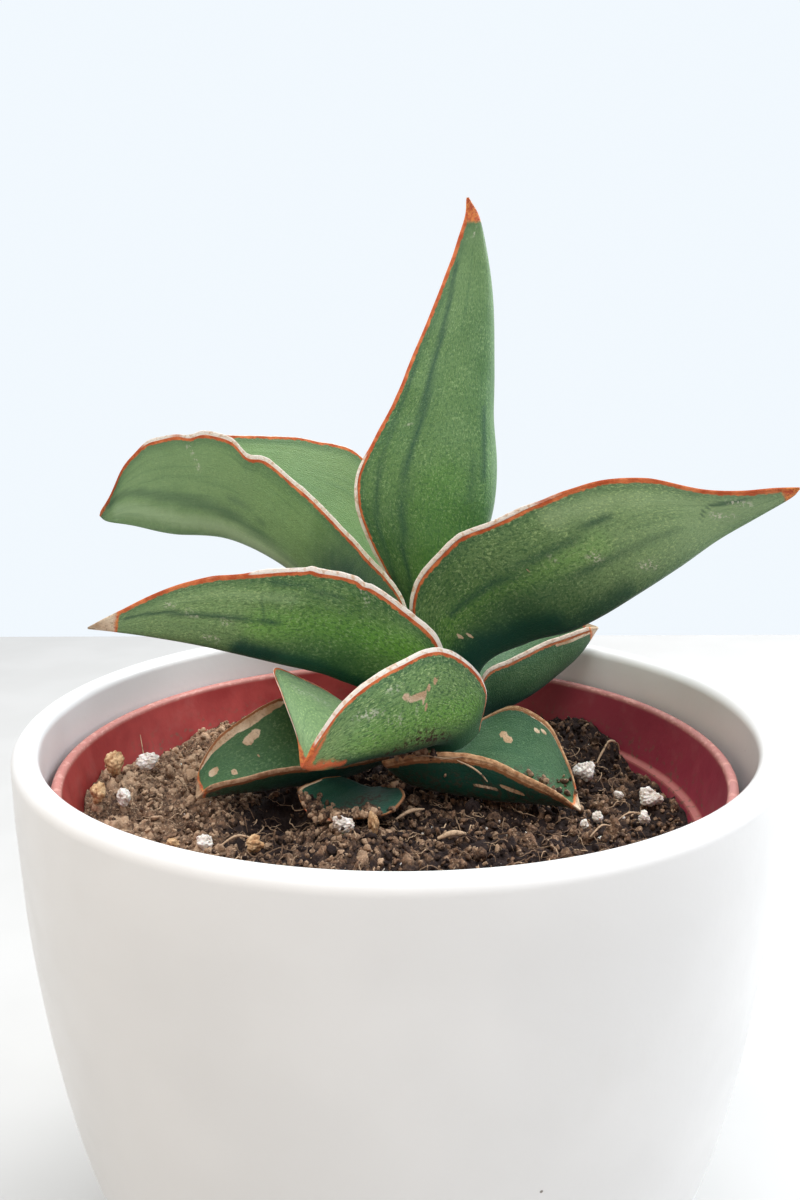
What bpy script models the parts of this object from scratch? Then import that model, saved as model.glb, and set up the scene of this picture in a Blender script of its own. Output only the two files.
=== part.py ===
"""A young snake plant in a plastic nursery pot, standing in a glazed ceramic cover pot.

Run it with: blender --background --python part.py
The origin is the middle of the cover pot's base, +Z is up, and the plant's front faces -Y.
Tables below are in millimetres, and the meshes are in metres.
"""

import cmath
import math

import bmesh
import bpy
import numpy as np
from mathutils import Vector

MM = 0.001
GAP = 0.3

# Cover pot: glazed ceramic, thrown round, with a rounded rim.
POT_HEIGHT = 118.0
POT_RADIUS = 66.0
POT_FOOT_RADIUS = 40.5
POT_WALL = 4.2
POT_FLOOR = 7.0
POT_SEGMENTS = 48

# Nursery pot: thin moulded plastic, 12 cm across its lip, standing a little off centre.
NURSERY_OFFSET_X = -0.7
NURSERY_LIP_RADIUS = 60.0
NURSERY_LIP_TOP = 110.0
NURSERY_LIP_WIDTH = 1.8
NURSERY_WALL = 1.0
NURSERY_BASE_RADIUS = 38.5
NURSERY_LEDGE_Z = 98.7
NURSERY_COLLAR_RADIUS = 55.6
NURSERY_BODY_RADIUS = 54.2
NURSERY_SEGMENTS = 48
DRAIN_HOLES = 8
DRAIN_HOLE_RADIUS = 3.0
DRAIN_RING_RADIUS = 30.0

# Soil: its level under the leaves, and banks given as (x, y, spread, rise).
SOIL_LEVEL = 97.0
SOIL_BOTTOM = POT_FLOOR + NURSERY_WALL + 2 * GAP
SOIL_BANKS = (
    (-58.0, 0.0, 17.0, 7.0),
    (-38.0, 38.0, 17.0, 5.0),
    (42.0, 38.0, 15.0, 6.0),
    (56.0, 2.0, 9.0, 1.5),
    (-32.0, -34.0, 16.0, 3.5),
    (4.0, -42.0, 18.0, 3.5),
    (-8.0, -21.0, 9.0, 3.0),
    (14.0, -24.0, 8.0, 1.2),
    (4.0, 36.0, 10.0, 4.0),
    (-48.0, 18.0, 7.0, 1.5),
    (30.0, 26.0, 7.0, 1.2),
    (36.0, -24.0, 8.0, 1.5),
)
SOIL_RINGS = 11
SOIL_LOWER_SIDE = (
    (NURSERY_BODY_RADIUS - 1.8, NURSERY_LEDGE_Z - 8.0),
    (NURSERY_BASE_RADIUS - 2.4, SOIL_BOTTOM),
)
SOIL_OVER_LEDGE = 1.6
SOIL_LEDGE_CLEARANCE = 0.9

# Crown: the short stem that every leaf grows from.
CROWN_CENTRE = (8.0, 19.0)
CROWN_RADIUS = 5.2
CROWN_TOP = 105.6
CROWN_BOTTOM = 84.0
CROWN_SEGMENTS = 20

LEAF_STATIONS = 24
LEAF_EDGE = 0.9
LEAF_ACROSS = 9
LEAF_FOLD_POWER = 1.6
TIP_HALF_WIDTH = 0.2

# Each leaf is a folded, keeled blade. A row gives a station from the base outwards: its right edge and
# left edge as seen from the crown with the channel up, its keel, and the blade's thickness at the keel.
# The last row is the tip: its point and thickness.
LEAVES = {
    "leaf_centre_upright": (
        ((4.5, 16.5, 106.5), (9.5, 19.5, 106.5), (8.5, 15.5, 106.5), 3.0),
        ((2.5, 19.5, 128.0), (11.0, 23.0, 128.0), (10.0, 15.0, 128.0), 3.4),
        ((-7.9, 18.5, 154.5), (18.5, 29.0, 153.0), (16.0, 15.0, 153.0), 3.6),
        ((-0.4, 19.0, 173.5), (18.5, 29.0, 172.0), (16.5, 17.0, 172.0), 3.2),
        ((7.7, 21.5, 192.7), (17.8, 27.5, 192.0), (17.5, 20.5, 192.0), 2.6),
        ((12.7, 23.3, 206.2), (15.8, 24.6, 206.2), (15.8, 23.0, 206.2), 1.4),
        ((13.4, 24.0, 211.3), 0.4),
    ),
    "leaf_right_arching": (
        ((7.0, 11.5, 109.0), (11.0, 24.0, 109.0), (15.0, 15.5, 108.5), 2.8),
        ((2.7, 10.5, 134.0), (10.0, 30.0, 132.5), (16.5, 13.0, 121.5), 3.2),
        ((9.3, 6.0, 146.0), (18.0, 28.5, 141.5), (25.0, 11.0, 127.0), 3.2),
        ((17.2, 3.0, 150.8), (24.5, 23.0, 146.0), (33.0, 6.5, 130.5), 3.0),
        ((31.7, -2.0, 157.8), (35.0, 15.0, 153.0), (43.0, 1.0, 138.0), 2.8),
        ((42.1, -5.0, 159.3), (44.0, 10.0, 154.5), (50.0, -2.0, 144.0), 2.5),
        ((53.0, -7.0, 157.2), (54.0, 1.0, 154.5), (57.0, -4.5, 150.0), 2.0),
        ((64.0, -8.7, 157.9), (64.5, -7.0, 157.2), (65.0, -8.4, 156.0), 1.2),
        ((66.6, -9.0, 158.1), 0.4),
    ),
    "leaf_left_lower": (
        ((-7.0, 21.0, 110.5), (6.0, 7.5, 110.5), (-5.0, 10.0, 109.0), 2.6),
        ((-9.0, 23.0, 123.0), (7.8, 7.0, 126.0), (-6.0, 11.0, 116.5), 3.0),
        ((-12.0, 22.0, 133.0), (0.2, 6.5, 134.4), (-12.0, 10.0, 120.0), 3.2),
        ((-16.0, 20.0, 138.0), (-8.6, 4.5, 140.5), (-18.0, 8.0, 122.5), 3.1),
        ((-25.0, 16.0, 138.5), (-20.4, 2.5, 142.2), (-27.0, 5.0, 125.5), 2.9),
        ((-41.0, 9.0, 137.0), (-39.2, 1.5, 140.2), (-43.0, 3.0, 129.8), 2.4),
        ((-51.5, 3.5, 134.0), (-51.5, 1.8, 134.8), (-52.0, 2.0, 131.4), 1.5),
        ((-57.0, 2.0, 132.2), 0.4),
    ),
    "leaf_left_back": (
        ((6.0, 27.0, 110.0), (2.0, 11.5, 110.0), (-3.0, 21.0, 109.5), 2.6),
        ((0.0, 35.0, 136.0), (1.2, 13.8, 132.4), (-4.0, 26.0, 124.0), 3.0),
        ((-7.0, 45.0, 159.0), (-8.1, 25.0, 143.1), (-14.0, 35.0, 130.0), 3.0),
        ((-20.5, 50.0, 164.5), (-21.0, 34.0, 155.0), (-26.0, 38.0, 138.5), 2.8),
        ((-36.5, 52.0, 165.5), (-35.0, 38.0, 164.8), (-39.0, 43.0, 143.8), 2.6),
        ((-50.0, 50.0, 164.8), (-48.0, 40.0, 166.5), (-51.0, 44.5, 144.5), 2.4),
        ((-60.0, 47.0, 158.0), (-60.5, 42.0, 160.5), (-60.5, 44.5, 146.5), 2.0),
        ((-66.0, 43.5, 150.5), (-66.0, 42.0, 151.3), (-65.5, 43.0, 147.6), 1.2),
        ((-67.0, 42.5, 149.0), 0.4),
    ),
    "leaf_front_short": (
        ((0.0, 8.0, 107.8), (16.0, 11.5, 109.0), (10.0, 5.0, 107.0), 2.4),
        ((-6.0, 7.0, 112.5), (16.5, 8.0, 119.0), (8.5, 2.5, 109.5), 2.8),
        ((-15.0, 8.5, 118.0), (8.7, 2.0, 127.3), (1.0, -4.0, 110.0), 3.0),
        ((-22.8, 4.5, 122.9), (0.0, -4.5, 126.4), (-6.0, -8.0, 110.2), 2.8),
        ((-20.8, -3.0, 120.0), (-8.5, -8.5, 121.5), (-11.0, -10.5, 109.8), 2.4),
        ((-17.9, -8.5, 114.6), (-14.0, -10.8, 114.8), (-15.0, -11.5, 109.7), 1.5),
        ((-16.8, -12.0, 110.6), 0.4),
    ),
    "leaf_right_back": (
        ((16.0, 23.0, 106.0), (9.0, 31.0, 106.5), (14.5, 29.5, 102.0), 2.6),
        ((18.0, 24.0, 116.0), (12.0, 36.0, 117.5), (20.0, 31.0, 105.5), 3.0),
        ((24.0, 28.5, 118.2), (18.0, 41.0, 120.0), (27.0, 34.0, 108.0), 3.0),
        ((32.0, 34.0, 120.5), (26.0, 46.0, 122.5), (34.0, 38.0, 111.5), 2.8),
        ((40.0, 38.0, 122.3), (37.0, 46.0, 124.0), (41.0, 41.0, 116.5), 2.2),
        ((45.3, 41.0, 123.3), 0.5),
    ),
    "leaf_low_left": (
        ((-2.0, 22.0, 103.8), (-2.0, 14.0, 102.5), (-2.0, 18.0, 100.3), 2.2),
        ((-9.0, 18.0, 107.5), (-8.5, 7.0, 103.6), (-9.0, 12.5, 99.8), 2.6),
        ((-16.5, 15.5, 112.7), (-14.0, 3.5, 104.3), (-15.0, 9.0, 99.6), 2.8),
        ((-24.5, 12.0, 114.2), (-20.0, 1.5, 104.6), (-22.0, 7.0, 99.5), 2.8),
        ((-34.0, 8.0, 108.8), (-29.0, 0.0, 103.2), (-30.0, 4.0, 99.5), 2.4),
        ((-37.5, 3.0, 104.5), (-35.0, -0.7, 101.7), (-35.7, 1.0, 99.8), 1.6),
        ((-37.9, -1.0, 100.3), 0.4),
    ),
    "leaf_low_right": (
        ((-3.0, 4.3, 104.5), (10.0, 11.5, 104.5), (4.0, 7.0, 99.3), 2.6),
        ((3.0, 1.8, 106.8), (17.0, 19.0, 108.0), (8.0, 6.0, 98.6), 3.0),
        ((14.0, -0.2, 107.4), (23.5, 19.5, 110.5), (16.0, 3.0, 98.5), 3.0),
        ((22.0, -3.2, 105.0), (29.5, 14.0, 109.0), (24.0, 0.5, 98.8), 2.6),
        ((28.5, -4.8, 102.0), (32.3, 5.0, 104.3), (30.0, -1.5, 99.0), 1.8),
        ((33.3, -4.2, 99.1), 0.4),
    ),
    "leaf_low_front": (
        ((-11.0, 3.6, 101.8), (0.0, 2.2, 100.3), (-5.0, 2.5, 98.6), 2.4),
        ((-15.5, 2.0, 102.0), (1.0, -3.0, 101.0), (-6.0, -0.5, 98.6), 2.4),
        ((-18.5, -1.2, 102.0), (-2.0, -9.0, 100.5), (-9.0, -4.0, 98.5), 2.2),
        ((-17.5, -6.0, 101.0), (-8.5, -10.0, 100.0), (-12.0, -7.0, 98.6), 1.8),
        ((-14.8, -9.3, 99.2), 0.4),
    ),
}

# Grains that lie on the soil: name, x, y, length, width, height, turn in degrees.
PERLITE = (
    ("perlite_back_left", -49.5, 8.5, 5.2, 3.4, 3.4, 20),
    ("perlite_left", -49.2, -8.0, 3.0, 2.8, 3.0, 70),
    ("perlite_rim_left", -32.5, -19.5, 3.8, 2.8, 2.6, 55),
    ("perlite_front", -9.5, -14.2, 4.4, 3.0, 3.2, 10),
    ("perlite_low_leaf", 37.5, 13.5, 4.8, 4.0, 4.0, 10),
    ("perlite_right_small", 42.5, 5.0, 2.2, 2.0, 2.0, 0),
    ("perlite_right", 47.5, 0.5, 5.0, 3.6, 3.8, 15),
    ("perlite_right_front", 44.5, -6.0, 2.8, 2.4, 2.4, 40),
    ("perlite_leaf_tip", 36.2, -5.2, 2.4, 2.0, 2.2, 0),
    ("perlite_tip_small", 33.4, -7.4, 1.9, 1.8, 1.8, 0),
)
PEBBLES = (
    ("pebble_back_left", -53.4, 1.0, 4.4, 4.0, 5.0, 30),
    ("pebble_left", -53.3, -8.8, 4.2, 3.2, 4.4, 80),
    ("pebble_rim_left", -38.0, -18.5, 2.6, 2.2, 2.0, 0),
    ("pebble_front_left", -24.0, -19.5, 3.6, 2.8, 2.8, 10),
    ("pebble_front", -4.4, -13.6, 2.6, 2.2, 4.0, 80),
)
GRAIN_CLEARANCE = 0.7
GRAIN_ROUGHNESS = 0.12
GRAIN_SUBDIVISIONS = 1

# Colour (linear), roughness and metallic value of each material.
FINISHES = {
    "white_glaze": ((0.86, 0.86, 0.85), 0.28, 0.0),
    "terracotta_plastic": ((0.36, 0.055, 0.04), 0.5, 0.0),
    "leaf_skin": ((0.06, 0.17, 0.045), 0.45, 0.0),
    "stem_tissue": ((0.25, 0.24, 0.12), 0.7, 0.0),
    "peat_soil": ((0.085, 0.052, 0.033), 0.95, 0.0),
    "perlite": ((0.78, 0.76, 0.72), 0.9, 0.0),
    "tan_stone": ((0.52, 0.33, 0.15), 0.8, 0.0),
}


def clear_scene():
    for obj in list(bpy.data.objects):
        bpy.data.objects.remove(obj, do_unlink=True)


def make_material(name):
    colour, roughness, metallic = FINISHES[name]
    material = bpy.data.materials.new(name)
    material.use_nodes = True
    shader = material.node_tree.nodes["Principled BSDF"]
    shader.inputs["Base Color"].default_value = (*colour, 1.0)
    shader.inputs["Roughness"].default_value = roughness
    shader.inputs["Metallic"].default_value = metallic
    material.diffuse_color = (*colour, 1.0)
    return material


def add_object(name, bm, material, smooth_angle=40):
    """The bmesh, in millimetres, as a named object in metres."""
    bmesh.ops.recalc_face_normals(bm, faces=bm.faces)
    bmesh.ops.scale(bm, vec=(MM, MM, MM), verts=bm.verts)
    mesh = bpy.data.meshes.new(name)
    bm.to_mesh(mesh)
    bm.free()
    mesh.materials.append(material)
    mesh.shade_smooth()
    mesh.set_sharp_from_angle(angle=math.radians(smooth_angle))
    obj = bpy.data.objects.new(name, mesh)
    bpy.context.scene.collection.objects.link(obj)
    return obj


def turned(profile, segments, centre=(0.0, 0.0)):
    """The bmesh of a profile of (radius, height) spun once round the vertical line through centre."""
    bm = bmesh.new()
    verts = [bm.verts.new((radius, 0.0, height)) for radius, height in profile]
    edges = [bm.edges.new(pair) for pair in zip(verts, verts[1:])]
    bmesh.ops.spin(
        bm,
        geom=verts + edges,
        cent=(0.0, 0.0, 0.0),
        axis=(0.0, 0.0, 1.0),
        angle=2.0 * math.pi,
        steps=segments,
        use_merge=True,
    )
    bmesh.ops.remove_doubles(bm, verts=bm.verts, dist=0.001)
    bmesh.ops.translate(bm, vec=(centre[0], centre[1], 0.0), verts=bm.verts)
    return bm


def arc(centre_r, centre_z, radius, start, end, steps):
    """Points of an arc in the (radius, height) plane, with angles in degrees from +radius."""
    angles = [math.radians(start + (end - start) * i / steps) for i in range(steps + 1)]
    return [(centre_r + radius * math.cos(a), centre_z + radius * math.sin(a)) for a in angles]


def smooth_points(rows, count):
    """A smooth (Catmull-Rom) run of count points through the rows."""
    rows = np.asarray(rows, float)
    ends = np.vstack([2 * rows[0] - rows[1], rows, 2 * rows[-1] - rows[-2]])
    points = []
    for place in np.linspace(0, len(rows) - 1, count):
        i = min(int(place), len(rows) - 2)
        t = place - i
        a, b, c, d = ends[i : i + 4]
        bend = 2 * a - 5 * b + 4 * c - d
        twist = 3 * b - a - 3 * c + d
        points.append(0.5 * (2 * b + (c - a) * t + bend * t**2 + twist * t**3))
    return np.array(points)


def pot_outer_wall():
    """(radius, height) from the foot to below the rim: a bowl that straightens as it rises."""
    rows = (
        (POT_FOOT_RADIUS + 1.0, 1.2),
        (POT_FOOT_RADIUS + 6.8, 13.0),
        (POT_RADIUS - 12.6, 29.5),
        (POT_RADIUS - 6.7, 48.0),
        (POT_RADIUS - 3.1, 67.0),
        (POT_RADIUS - 0.9, 87.0),
        (POT_RADIUS, POT_HEIGHT - 10.0),
    )
    return [tuple(row) for row in smooth_points(rows, 15)]


def make_cover_pot(material):
    outer = pot_outer_wall()
    rim_radius = POT_WALL / 2
    rim_centre = POT_RADIUS - rim_radius
    rim = arc(rim_centre, POT_HEIGHT - rim_radius, rim_radius, 0, 180, 8)
    inner = [(r - POT_WALL, z) for r, z in reversed(outer) if z > POT_FLOOR + 4.0]
    floor_edge = POT_FOOT_RADIUS - 1.0
    profile = [(0.0, 0.0), (POT_FOOT_RADIUS, 0.0)]
    profile += outer + rim + inner
    profile += [(floor_edge + 1.0, POT_FLOOR + 1.0), (floor_edge, POT_FLOOR), (0.0, POT_FLOOR)]
    return add_object("cover_pot", turned(profile, POT_SEGMENTS), material)


def nursery_wall():
    """(radius, height) down the inside of the nursery pot, from the lip to the floor corner."""
    floor = POT_FLOOR + GAP + NURSERY_WALL
    return [
        (NURSERY_LIP_RADIUS - NURSERY_LIP_WIDTH, NURSERY_LIP_TOP - 0.5),
        (NURSERY_COLLAR_RADIUS, NURSERY_LEDGE_Z),
        (NURSERY_BODY_RADIUS, NURSERY_LEDGE_Z - 0.4),
        (NURSERY_BASE_RADIUS - NURSERY_WALL, floor + 1.0),
        (NURSERY_BASE_RADIUS - NURSERY_WALL - 1.0, floor),
    ]


def make_nursery_pot(material):
    base = POT_FLOOR + GAP
    inner = nursery_wall()
    outer = [
        (NURSERY_BASE_RADIUS - 1.0, base),
        (NURSERY_BASE_RADIUS, base + 1.0),
        (NURSERY_BODY_RADIUS + NURSERY_WALL, NURSERY_LEDGE_Z - 1.4),
        (NURSERY_COLLAR_RADIUS + NURSERY_WALL, NURSERY_LEDGE_Z - 0.9),
        (NURSERY_LIP_RADIUS - NURSERY_LIP_WIDTH + 0.7, NURSERY_LIP_TOP - 3.5),
        (NURSERY_LIP_RADIUS - 0.1, NURSERY_LIP_TOP - 3.5),
    ]
    lip = arc(NURSERY_LIP_RADIUS - 0.9, NURSERY_LIP_TOP - 0.9, 0.9, 0, 180, 4)
    profile = [(0.0, base)] + outer + lip + inner + [(0.0, inner[-1][1])]
    centre = (NURSERY_OFFSET_X, 0.0)
    pot = add_object("nursery_pot", turned(profile, NURSERY_SEGMENTS, centre), material)
    cutter_mesh = bmesh.new()
    for i in range(DRAIN_HOLES):
        angle = 2 * math.pi * i / DRAIN_HOLES
        x = NURSERY_OFFSET_X + DRAIN_RING_RADIUS * math.cos(angle)
        y = DRAIN_RING_RADIUS * math.sin(angle)
        hole = bmesh.ops.create_cone(
            cutter_mesh,
            cap_ends=True,
            segments=12,
            radius1=DRAIN_HOLE_RADIUS,
            radius2=DRAIN_HOLE_RADIUS,
            depth=6.0,
        )
        bmesh.ops.translate(cutter_mesh, vec=(x, y, base), verts=hole["verts"])
    cutter = add_object("drain_hole_cutter", cutter_mesh, material)
    cut_with(pot, cutter)
    return pot


def cut_with(obj, cutter):
    cutter.hide_render = True
    cutter.display_type = "WIRE"
    modifier = obj.modifiers.new("cut", "BOOLEAN")
    modifier.operation = "DIFFERENCE"
    modifier.solver = "EXACT"
    modifier.object = cutter


def soil_height(x, y):
    rise = sum(h * math.exp(-((x - cx) ** 2 + (y - cy) ** 2) / s**2) for cx, cy, s, h in SOIL_BANKS)
    return SOIL_LEVEL + rise


def soil_side(height):
    """(radius, height) of the three rings down the soil's top edge: over the ledge, or inside it."""
    ledge = NURSERY_LEDGE_Z
    body = NURSERY_BODY_RADIUS - 2 * GAP
    if height < ledge + SOIL_OVER_LEDGE:
        return ((body, height), (body - 0.05, height - 0.6), (body - 0.1, height - 1.2))
    flare = NURSERY_LIP_RADIUS - NURSERY_LIP_WIDTH - NURSERY_COLLAR_RADIUS
    slope = flare / (NURSERY_LIP_TOP - ledge)
    collar = NURSERY_COLLAR_RADIUS - 2 * GAP
    top = collar + (height - ledge) * slope
    under = ledge + SOIL_LEDGE_CLEARANCE
    return ((top, height), (collar, under + GAP), (body, under))


def make_soil(material):
    """A plug that fills the nursery pot, with a banked top and a socket for the crown."""
    bm = bmesh.new()
    centre = Vector((NURSERY_OFFSET_X, 0.0, 0.0))
    spokes = []
    for i in range(NURSERY_SEGMENTS):
        angle = 2 * math.pi * i / NURSERY_SEGMENTS
        way = Vector((math.cos(angle), math.sin(angle), 0.0))
        reach = centre + way * NURSERY_BODY_RADIUS
        edge = soil_side(soil_height(reach.x, reach.y))
        points = []
        for ring in range(1, SOIL_RINGS):
            place = centre + way * edge[0][0] * ring / SOIL_RINGS
            points.append(Vector((place.x, place.y, soil_height(place.x, place.y))))
        for radius, height in edge + SOIL_LOWER_SIDE:
            points.append(centre + way * radius + Vector((0.0, 0.0, height)))
        spokes.append([bm.verts.new(point) for point in points])
    middle = bm.verts.new((centre.x, centre.y, soil_height(centre.x, centre.y)))
    for near, far in zip(spokes, spokes[1:] + spokes[:1]):
        bm.faces.new((middle, near[0], far[0]))
        for a, b, c, d in zip(near, near[1:], far[1:], far):
            bm.faces.new((a, b, c, d))
    bm.faces.new([spoke[-1] for spoke in spokes])
    soil = add_object("potting_soil", bm, material, smooth_angle=80)
    socket = add_object("crown_socket_cutter", crown_shape(GAP), material)
    cut_with(soil, socket)
    return soil


def crown_shape(grow=0.0):
    """The stem stub: a rounded foot in the soil, a slight waist and a domed top under the leaves."""
    radius = CROWN_RADIUS + grow
    low = CROWN_BOTTOM - grow
    high = CROWN_TOP + grow
    profile = [(0.0, low), (radius * 0.55, low + 0.8), (radius * 0.95, low + 3.5)]
    profile += [(radius, low + 8.0), (radius * 0.92, high - 6.0), (radius * 0.98, high - 3.0)]
    profile += [(radius * 0.8, high - 0.8), (0.0, high)]
    return turned(profile, CROWN_SEGMENTS, CROWN_CENTRE)


def blade_stations(rows, count):
    """Right edge, left edge, keel and thickness at count stations from base to tip."""
    *body, (tip, tip_thickness) = rows
    right, left, keel, _ = (np.array(value) for value in body[-1])
    across = (left - right) / np.linalg.norm(left - right)
    down = keel - (left + right) / 2
    down /= np.linalg.norm(down)
    tip = np.array(tip)
    flat = [np.concatenate([*row[:3], [row[3]]]) for row in body]
    ends = [tip - across * TIP_HALF_WIDTH, tip + across * TIP_HALF_WIDTH, tip + down * TIP_HALF_WIDTH]
    flat.append(np.concatenate([*ends, [tip_thickness]]))
    return smooth_points(flat, count)


def blade_section(station, across_count):
    """One closed ring of points: the outer face from edge to edge, then the channel back again."""
    right, left, keel = station[0:3], station[3:6], station[6:9]
    thickness = max(station[9], TIP_HALF_WIDTH)
    middle = (right + left) / 2
    depth = np.linalg.norm(middle - keel)
    up = (middle - keel) / depth
    edge = min(LEAF_EDGE, 0.6 * thickness)
    outer = []
    channel = []
    for x in np.linspace(-1, 1, across_count):
        hang = 1 - abs(x) ** LEAF_FOLD_POWER
        base = middle + (left - right) / 2 * x
        outer.append(base - up * depth * hang)
        channel.append(base - up * ((depth - thickness) * hang - edge * (1 - hang)))
    return outer + channel[::-1]


def make_leaf(name, rows, material):
    bm = bmesh.new()
    rings = []
    for station in blade_stations(rows, LEAF_STATIONS):
        rings.append([bm.verts.new(Vector(p)) for p in blade_section(station, LEAF_ACROSS)])
    size = len(rings[0])
    for near, far in zip(rings, rings[1:]):
        for i in range(size):
            j = (i + 1) % size
            bm.faces.new((near[i], near[j], far[j], far[i]))
    for ring in (rings[0], rings[-1]):
        for i in range(LEAF_ACROSS - 1):
            bm.faces.new((ring[i], ring[i + 1], ring[size - 2 - i], ring[size - 1 - i]))
    return add_object(name, bm, material, smooth_angle=60)


def make_grain(index, grain, material):
    """A knobbly grain lying on the soil, made from an icosphere pushed in and out by a fixed pattern."""
    name, x, y, length, width, height, turn = grain
    bm = bmesh.new()
    bmesh.ops.create_icosphere(bm, subdivisions=GRAIN_SUBDIVISIONS, radius=0.5)
    for vert in bm.verts:
        px, py, pz = vert.co * 7.0
        wave = math.sin(px + index) + math.sin(py * 1.3 + 2 * index) + math.sin(pz * 1.1 - index)
        vert.co *= 1.0 + GRAIN_ROUGHNESS * wave / 3
    bmesh.ops.scale(bm, vec=(length, width, height), verts=bm.verts)
    angle = math.radians(turn)
    for vert in bm.verts:
        px, py, pz = vert.co
        vert.co.x = px * math.cos(angle) - py * math.sin(angle)
        vert.co.y = px * math.sin(angle) + py * math.cos(angle)
    reach = max(length, width) / 2
    around = [cmath.rect(reach, 2 * math.pi * i / 8) for i in range(8)] + [0j]
    ground = max(soil_height(x + step.real, y + step.imag) for step in around)
    low = min(vert.co.z for vert in bm.verts)
    bmesh.ops.translate(bm, vec=(x, y, ground + GRAIN_CLEARANCE - low), verts=bm.verts)
    return add_object(name, bm, material, smooth_angle=60)


def main():
    clear_scene()
    materials = {name: make_material(name) for name in FINISHES}
    make_cover_pot(materials["white_glaze"])
    make_nursery_pot(materials["terracotta_plastic"])
    make_soil(materials["peat_soil"])
    add_object("crown", crown_shape(), materials["stem_tissue"])
    for name, rows in LEAVES.items():
        make_leaf(name, rows, materials["leaf_skin"])
    for index, grain in enumerate(PERLITE):
        make_grain(index, grain, materials["perlite"])
    for index, grain in enumerate(PEBBLES):
        make_grain(index + len(PERLITE), grain, materials["tan_stone"])


main()
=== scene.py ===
"""Looks of the potted snake plant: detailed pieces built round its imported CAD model.

Lengths in the tables are in millimetres, as in the CAD source, and meshes are in metres. Lights are
placed in metres.
"""

import math

import bmesh
import bpy
import numpy as np
from mathutils import Euler, Matrix, Vector, noise
from mathutils.bvhtree import BVHTree


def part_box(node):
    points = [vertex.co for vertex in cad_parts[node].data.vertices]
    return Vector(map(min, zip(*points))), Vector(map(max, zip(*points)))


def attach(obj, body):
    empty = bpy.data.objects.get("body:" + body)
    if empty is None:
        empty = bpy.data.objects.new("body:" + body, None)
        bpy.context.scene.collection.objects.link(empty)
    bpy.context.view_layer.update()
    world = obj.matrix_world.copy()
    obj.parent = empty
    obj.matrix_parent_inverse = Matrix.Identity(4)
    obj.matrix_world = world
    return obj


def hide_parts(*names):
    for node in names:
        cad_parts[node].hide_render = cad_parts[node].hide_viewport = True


MM = 0.001
SEED = 20

# Camera: in front of the pot and above its rim, looking a little down through a wide lens.
CAMERA_PLACE = (0.24, -159.2, 167.98)
CAMERA_TILT = 10.78
CAMERA_ROLL = -0.14
CAMERA_LENS = 27.0
CAMERA_SENSOR = 36.0

# Table, whose far edge lies behind the pot, and the room and the point that the lights face, in metres.
TABLE_FAR_EDGE = 565.0
TABLE_REACH = 1500.0
ROOM_COLOUR = (0.885, 0.944, 0.995)
LIGHT_AIM = (0.0, 0.0, 0.11)

# Pots: what the CAD boxes don't say.
POT_FOOT_RADIUS = 40.5
POT_WALL = 4.2
POT_FLOOR = 7.0
NURSERY_OFFSET_X = -0.7
NURSERY_LIP_WIDTH = 1.8
NURSERY_WALL = 1.0
NURSERY_BASE_RADIUS = 38.5
NURSERY_LEDGE_Z = 98.7
NURSERY_COLLAR_RADIUS = 55.6
NURSERY_BODY_RADIUS = 54.2
DRAIN_HOLES = 8
DRAIN_HOLE_RADIUS = 3.0
DRAIN_HOLE_DEPTH = 6.0
DRAIN_RING_RADIUS = 30.0
LATHE_SEGMENTS = 192
SHARP_ANGLE = 50

# Soil: its level under the leaves, and banks given as (x, y, spread, rise).
SOIL_LEVEL = 97.0
SOIL_BANKS = (
    (-58.0, 0.0, 17.0, 7.0),
    (-38.0, 38.0, 17.0, 5.0),
    (42.0, 38.0, 15.0, 6.0),
    (56.0, 2.0, 9.0, 1.5),
    (-32.0, -34.0, 16.0, 3.5),
    (4.0, -42.0, 18.0, 3.5),
    (-8.0, -21.0, 9.0, 3.0),
    (14.0, -24.0, 8.0, 1.2),
    (4.0, 36.0, 10.0, 4.0),
    (-48.0, 18.0, 7.0, 1.5),
    (30.0, 26.0, 7.0, 1.2),
    (36.0, -24.0, 8.0, 1.5),
)
# A hollow (x, y, spread, depth), sunk and painted dark as shade, and the pale mound (x, y, spread) at the
# front.
SOIL_HOLLOW = (-21.0, 0.0, 7.0, 6.0)
PALE_MOUND = (-8.0, -24.0, 9.0)
SOIL_RINGS = 170
SOIL_SPOKES = 420
GRAIN_SINK = 0.7
FIBRE_POINTS = 12

# Loose pieces on the soil: a path of points, a width and how pale each is.
LOOSE_BITS = (
    (
        ((41.0, 19.0, 98.6), (42.5, 20.8, 100.6), (44.6, 23, 102.6), (46.8, 25, 101.4), (47.6, 25.6, 99.6)),
        0.55,
        0.95,
    ),
    (((-50.5, 11.0, 101.5), (-51.2, 12.0, 104.5), (-52.2, 14.0, 107.5)), 0.22, 0.75),
    (((-0.6, -6.2, 98.4), (2.0, -4.6, 99.2), (4.6, -3.0, 98.9)), 0.75, 0.75),
    (((6.6, -14.6, 98.6), (9.2, -14.0, 99.3), (11.6, -13.2, 98.8)), 1.1, 0.95),
    (((39.0, -8.0, 98.8), (41.8, -6.4, 99.6), (45.0, -6.0, 99.0)), 0.35, 0.85),
    (((33.0, -14.0, 98.6), (35.4, -11.8, 99.6), (37.2, -11.0, 99.2)), 0.40, 0.70),
    (((-30.0, -20.0, 99.8), (-27.2, -18.4, 101.0), (-24.0, -18.0, 100.2)), 0.45, 0.80),
    (((10.8, 0.0, 107.2), (13.4, -0.8, 106.2), (15.2, -1.4, 105.0), (16.4, -1.6, 103.6)), 0.40, 0.80),
    (((1.8, 1.6, 107.2), (5.0, 0.6, 107.9), (8.6, 0.2, 107.5), (12.0, 0.0, 107.9)), 0.35, 0.55),
    (((14.0, -30.0, 98.9), (17.5, -28.5, 100.0), (20.0, -29.5, 99.2)), 0.40, 0.80),
)

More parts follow.
